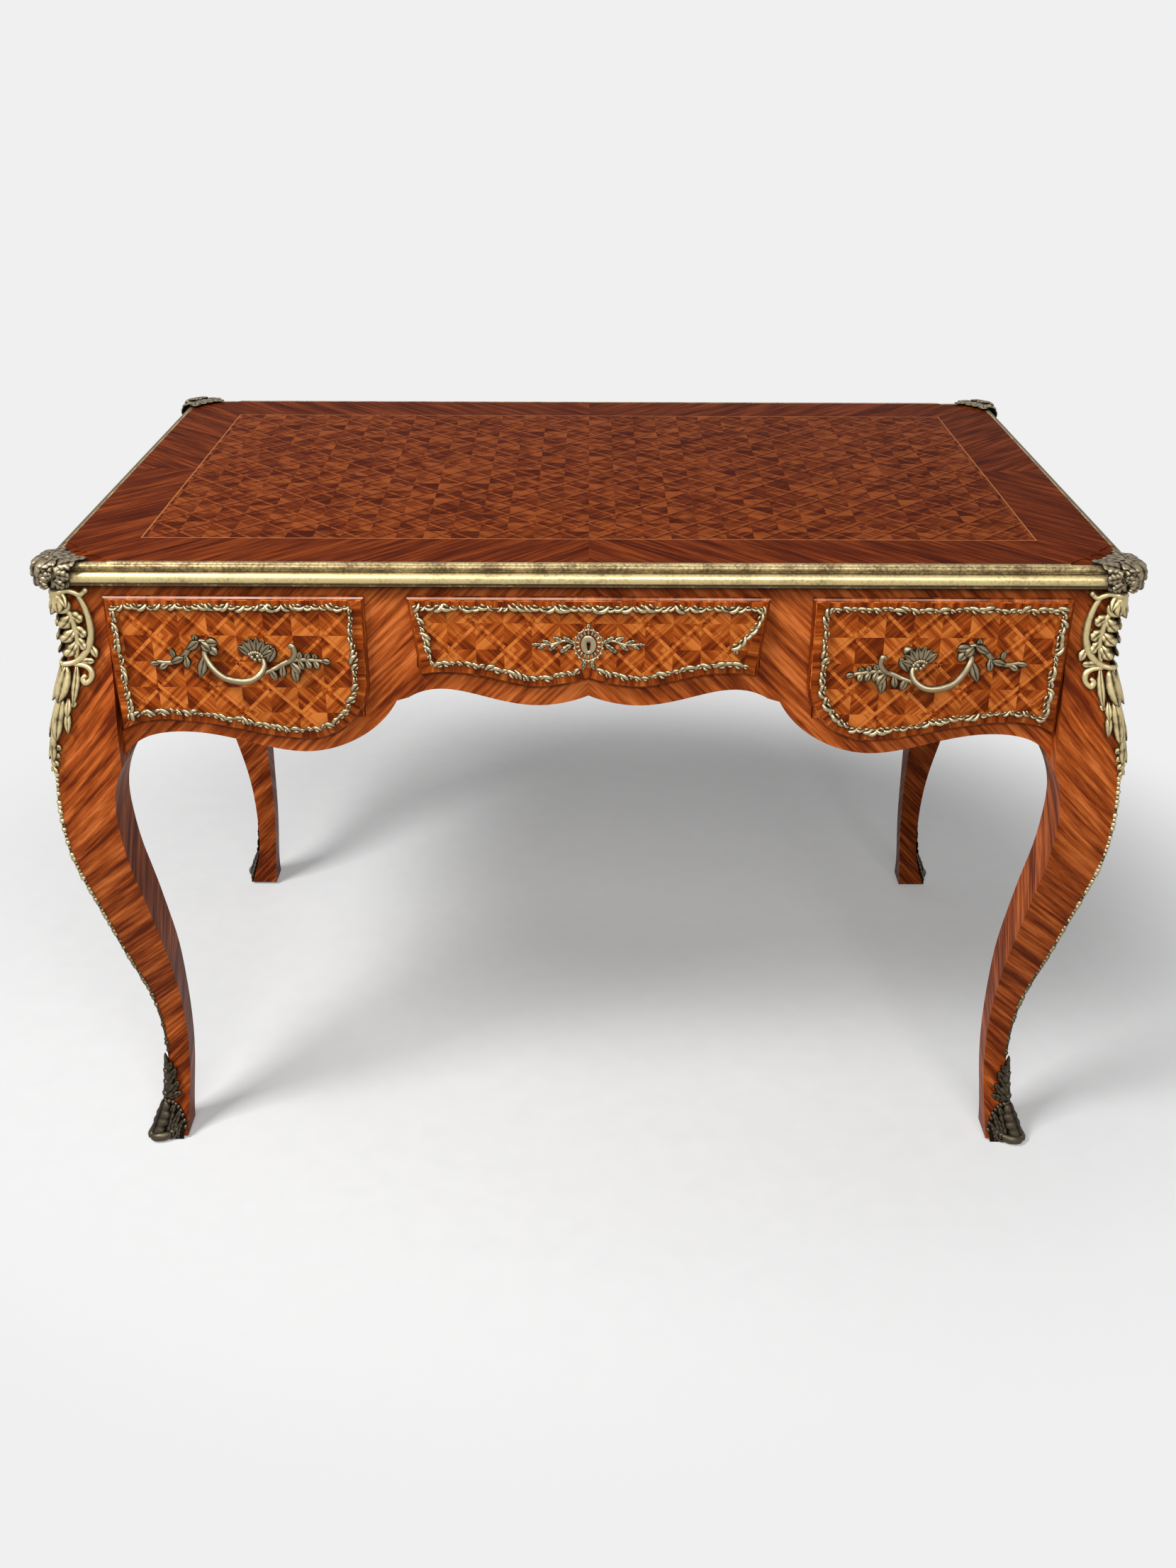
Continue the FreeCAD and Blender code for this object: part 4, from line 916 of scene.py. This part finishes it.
def vine_nodes():
    """Geometry nodes that set leaves at random along a curve, on a thin stem."""
    group = bpy.data.node_groups.new("vine", "GeometryNodeTree")
    inputs = (
        ("Path", "Geometry"), ("Leaf", "Object"), ("Spacing", "Float"), ("Stem", "Float"), ("Sway", "Float"),
        ("Seed", "Int"), ("Finish", "Material"),
    )
    for name, kind in inputs:
        group.interface.new_socket(name, in_out="INPUT", socket_type=f"NodeSocket{kind}")
    group.interface.new_socket("Vine", in_out="OUTPUT", socket_type="NodeSocketGeometry")
    given, end = group.nodes.new("NodeGroupInput").outputs, group.nodes.new("NodeGroupOutput")

    def node(kind, sockets=(), output=0, **settings):
        return new_node(group, kind, settings, sockets).outputs[output]

    def chance(low, high, shift):
        seed = node("ShaderNodeMath", {0: given["Seed"], 1: float(shift)}, operation="ADD")
        return node("FunctionNodeRandomValue", {2: low, 3: high, "Seed": seed}, 1, data_type="FLOAT")

    curve = node("GeometryNodeMeshToCurve", {"Mesh": given["Path"]})
    places = node("GeometryNodeResampleCurve", {"Curve": curve, "Length": given["Spacing"]}, mode="LENGTH")
    minus = node("ShaderNodeMath", {0: given["Sway"], 1: -1.0}, operation="MULTIPLY")
    across, up = (chance(minus, given["Sway"], shift) for shift in (1, 2))
    drift = node("ShaderNodeCombineXYZ", {0: across, 2: up})
    places = node("GeometryNodeSetPosition", {"Geometry": places, "Offset": drift})
    ahead = node("GeometryNodeInputTangent")
    turn = node("FunctionNodeAlignRotationToVector", {"Vector": ahead}, axis="X", pivot_axis="Y")
    tilt = node("ShaderNodeCombineXYZ", {1: chance(-0.75, 0.75, 3)})
    turn = node("FunctionNodeRotateRotation", {0: turn, 1: tilt})
    leaf = node("GeometryNodeObjectInfo", {"Object": given["Leaf"]}, "Geometry")
    placed = {"Points": places, "Instance": leaf, "Rotation": turn, "Scale": chance(0.65, 1.35, 4)}
    leaves = node("GeometryNodeInstanceOnPoints", placed)
    profile = node("GeometryNodeCurvePrimitiveCircle", {"Resolution": 6, "Radius": given["Stem"]})
    stem = node("GeometryNodeCurveToMesh", {"Curve": curve, "Profile Curve": profile, "Fill Caps": True})
    relief = {"Geometry": stem, "Name": "relief", "Value": 0.45}
    stem = node("GeometryNodeStoreNamedAttribute", relief, data_type="FLOAT")
    both = node("GeometryNodeJoinGeometry").node
    group.links.new(stem, both.inputs[0])
    group.links.new(node("GeometryNodeRealizeInstances", {"Geometry": leaves}), both.inputs[0])
    dressed = node("GeometryNodeSetMaterial", {"Geometry": both.outputs[0], "Material": given["Finish"]})
    group.links.new(dressed, end.inputs[0])
    return group


VINE = vine_nodes()
# From the drawer fronts to the sham fronts on the back.
TO_BACK = Matrix.Translation((0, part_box("back_sham_fronts")[1].y + FACE_Y, 0)) @ Matrix.Scale(-1, 4, (0, 1, 0))
CORNERS = {"front_left": (1, 1), "front_right": (-1, 1), "back_left": (1, -1), "back_right": (-1, -1)}


def flat_seat(across, up, out):
    return Vector((across, -out, up)) * MM


def vine(name, kind, body, node, paths, **values):
    """Leaves along open paths, as one plain mesh in the place of a CAD node; values are the vine's inputs."""
    points, edges = [], []
    for path in paths:
        edges += [(len(points) + i, len(points) + i + 1) for i in range(len(path) - 1)]
        points += path
    guide = mesh_object(name + "_guide", points, [], edges)
    modifier = guide.modifiers.new("vine", "NODES")
    modifier.node_group = VINE
    values["Finish"] = CAST[kind][1]
    for socket in VINE.interface.items_tree:
        if socket.name in values:
            modifier[socket.identifier] = values[socket.name]
    mesh = bpy.data.meshes.new_from_object(guide.evaluated_get(bpy.context.evaluated_depsgraph_get()))
    bpy.data.objects.remove(guide)
    mesh.name = name
    mesh.shade_smooth()
    return mounted(linked(name, mesh), kind, body, node)


def runs(path, kept):
    """The stretches of a closed path whose points are kept."""
    first = next(i for i, point in enumerate(path) if not kept(point))
    found = [list(run) for good, run in groupby(path[first:] + path[:first], kept) if good]
    return [run for run in found if len(run) > 1]


def still_fast(point):
    """The centre band is broken at its cusp and has lost its right end."""
    cusp_half, lost_from, lost_low, lost_high = 0.011, 0.163, 0.664, 0.7235
    cusp = abs(point.x) < cusp_half and point.z < KEYHOLE.z
    lost = point.x > lost_from and lost_low < point.z < lost_high
    return not (cusp or lost)


leaf = Casting(flat_seat)
blade = [(-5.5, -0.8, 0.2), (-1.5, 1.2, 1.4), (2.5, 1.2, 2.2), (6, -0.6, 0.6)]
leaf.bar(blade, 4.2, tip=0.2, flat=0.75, sides=6, steps=2)
leaf.bar([(-2, -1, 0.3), (1, -2.6, 1.4), (3.5, -2.4, 0.6)], 2.8, tip=0.3, flat=0.75, sides=5, steps=2)
bead = Casting(flat_seat)
bead.bar([(-2.6, 0, 0), (0, 0, 0), (2.6, 0, 0)], 5.4, tip=0.4, flat=1.0, sides=6, steps=2)
LEAF, BEAD = leaf.mesh("band_leaf"), bead.mesh("strip_bead")
BANDS = {side: band_path(f"{side}_drawer_band") for side in ("left", "center", "right")}
RINGS = {side: [path + path[:1]] for side, path in BANDS.items()}
BAND_LEAVES = {"Leaf": LEAF, "Spacing": 0.0078, "Stem": 0.0014, "Sway": 0.0012}
# The centre band's right end hangs loose: x, out from the front, z.
LOOSE_PLACES = (
    (0.182, 0.003, 0.7265), (0.18, 0.004, 0.714), (0.17, 0.006, 0.701), (0.159, 0.006, 0.69), (0.154, 0.004, 0.68),
)
LOOSE_END = smooth([(x, FACE_Y - out, z) for x, out, z in LOOSE_PLACES])
for seed, side in enumerate(("left", "right")):
    vine(f"{side}_band", "band", f"{side}_drawer", f"{side}_drawer_band", RINGS[side], Seed=seed, **BAND_LEAVES)
center_runs = runs(BANDS["center"], still_fast) + [LOOSE_END]
vine("center_band", "band", "center_drawer", "center_drawer_band", center_runs, Seed=2, **BAND_LEAVES)
back = vine("sham_bands", "band", "frame", "back_bands", sum(RINGS.values(), []), Seed=3, **BAND_LEAVES)
back.data.transform(TO_BACK)
back.data.flip_normals()

CROSSBAND = drawer_crossband()


def crossband(name, body, side):
    """A thin veneer between a drawer front's edge and the middle of its band, with its grain as a UV map."""
    step, fine_step, row, lift = 0.004, 0.001, 0.006, Vector((0, -0.0003, 0))
    outer = spaced(front_loops(f"{side}_drawer_front")[-1], step)
    inside = spaced(BANDS[side] + BANDS[side][:1], fine_step)
    inner = [Vector((found.x, FACE_Y, found.z)) for found in (nearest(point, inside) for point in outer)]
    raised = [[point + lift for point in line] for line in (outer, inner)]
    casting = Casting(lambda *point: Vector(point))
    casting.ring([outer, *raised, inner], [0, 0, 0, 0])
    item = casting.mesh(name)
    item.data.shade_flat()
    item.data.materials.append(CROSSBAND)
    grain = item.data.uv_layers.new(name="grain")
    for face in item.data.polygons:
        spots = [divmod(item.data.loops[index].vertex_index, len(outer)) for index in face.loop_indices]
        last = max(place for line, place in spots)
        for index, (line, place) in zip(face.loop_indices, spots):
            turn = len(outer) if place == 0 and last > 1 else 0
            grain.data[index].uv = ((place + turn) * step, line % 3 * row)
    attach(item, body)
    return item


for side in BANDS:
    crossband(f"{side}_crossband", f"{side}_drawer", side)
    sham = crossband(f"{side}_sham_crossband", "frame", side)
    sham.data.transform(TO_BACK)
    sham.data.flip_normals()

STRIP_STEPS, STRIP_SUNK = 110, 0.0012
STRIP_LOW, STRIP_HIGH = (end.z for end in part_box("leg_edge_strips"))
heights = [STRIP_LOW + (STRIP_HIGH - STRIP_LOW) * step / STRIP_STEPS for step in range(STRIP_STEPS + 1)]
strip = [corner.seat(0.0, height, -STRIP_SUNK) for height in heights]
strips = [flipped(strip, *ways) for ways in CORNERS.values()]
STRIP_BEADS = {"Leaf": BEAD, "Spacing": 0.0056, "Stem": 0.0019, "Sway": 0.0}
vine("beaded_strips", "strip", "frame", "leg_edge_strips", strips, Seed=5, **STRIP_BEADS)
bpy.data.objects.remove(LEAF)
bpy.data.objects.remove(BEAD)

for kind, build in (("knee_mount", knee_mount), ("sabot", sabot), ("clasp", clasp)):
    for place, ways in CORNERS.items():
        casting = build()
        casting.points = flipped(casting.points, *ways)
        casting.piece(f"cast_{kind}_{place}", kind, "frame", f"{kind}_{place}")


# ---- Stage ----
PAPER = 0.87


def paper_floor():
    """A pale floor that fades into the white background away from the table."""
    half, spread, back = 6.0, (1.3, 1.1), 0.2
    finish = Finish("pale_floor", Roughness=0.9, Specular_IOR_Level=0.0, Emission_Strength=1.0)
    x, y, z = finish.place()
    grain = finish.noise(finish.vector(x, y, z), 30.0)
    ray = finish.node("ShaderNodeLightPath")
    seen = ray.output("Is Camera Ray") + ray.output("Is Glossy Ray") + ray.output("Is Transmission Ray")
    paper = finish.ramp(grain, (0.3, tone(0.57, 0.57, 0.57)), (0.7, tone(0.59, 0.59, 0.59)))
    glow = finish.mix(seen, tone(0, 0, 0), tone(0.195, 0.195, 0.195))
    finish.surface(Base_Color=finish.mix(seen, tone(0.3, 0.3, 0.3), paper), Emission_Color=glow)
    where = finish.vector(x / spread[0], (y - back) / spread[1], 0.0)
    away = finish.node("ShaderNodeVectorMath", {"operation": "LENGTH"}, [where]).output("Value")
    fade = finish.rise(away, 0.55, 1.0, "SMOOTHSTEP")
    background = finish.node("ShaderNodeEmission", {}, [tone(PAPER, PAPER, PAPER), 1.0])
    both = finish.node("ShaderNodeMixShader", {}, [fade * seen, Wire(finish, finish.shader.outputs[0]), background])
    finish.tree.links.new(both.socket, finish.tree.nodes["Material Output"].inputs[0])
    corners = [(-half, -half, 0), (half, -half, 0), (half, half, 0), (-half, half, 0)]
    item = mesh_object("floor", corners, [(0, 1, 2, 3)])
    item.data.materials.append(finish.material)


def white_world(level):
    """A white background for the camera and in the brass, and an even, weaker light for the table."""
    world = bpy.data.worlds.new("studio")
    bpy.context.scene.world = world
    world.use_nodes = True
    tree = world.node_tree
    light = tree.nodes["Background"]
    light.inputs["Color"].default_value = tone(1, 1, 1)
    light.inputs["Strength"].default_value = level
    white = new_node(tree, "ShaderNodeBackground", {}, {"Color": tone(PAPER, PAPER, PAPER)})
    ray, seen = new_node(tree, "ShaderNodeLightPath"), 0.0
    for kind in ("Camera", "Glossy", "Transmission"):
        seen = new_node(tree, "ShaderNodeMath", {}, {0: ray.outputs[f"Is {kind} Ray"], 1: seen}).outputs[0]
    mix = new_node(tree, "ShaderNodeMixShader", {}, {0: seen, 1: light.outputs[0], 2: white.outputs[0]})
    tree.links.new(mix.outputs[0], tree.nodes["World Output"].inputs[0])


def softbox(name, place, target, size, power):
    lamp = bpy.data.lights.new(name, "AREA")
    lamp.shape = "RECTANGLE"
    lamp.size, lamp.size_y = size
    lamp.energy = power
    item = linked(name, lamp)
    item.location = place
    item.rotation_euler = (Vector(target) - Vector(place)).to_track_quat("-Z", "Y").to_euler()


def camera():
    pitch, roll = math.radians(28.04), math.radians(0.2)
    photo_height, focal, axis_below = 2212, 2148, 12
    data = bpy.data.cameras.new("camera")
    data.sensor_fit = "VERTICAL"
    data.sensor_height = 36.0
    data.lens = data.sensor_height * focal / photo_height
    data.shift_y = axis_below / photo_height
    item = linked("camera", data)
    item.location = (0, -1.836, 1.304)
    turn = Matrix.Rotation(math.pi / 2 - pitch, 3, "X") @ Matrix.Rotation(roll, 3, "Z")
    item.rotation_euler = turn.to_euler()
    bpy.context.scene.camera = item


paper_floor()
white_world(0.08)
softbox("key", (-1.9, -1.5, 3.1), (0, 0, 0.45), (1.1, 1.1), 130)
softbox("fill", (0.2, -3.0, 2.5), (0, 0, 0.5), (2.2, 1.2), 70)
softbox("overhead", (0.0, 0.6, 2.8), (0, 0, 0.4), (1.2, 1.0), 6)
camera()
bpy.context.scene.view_settings.view_transform = "Standard"
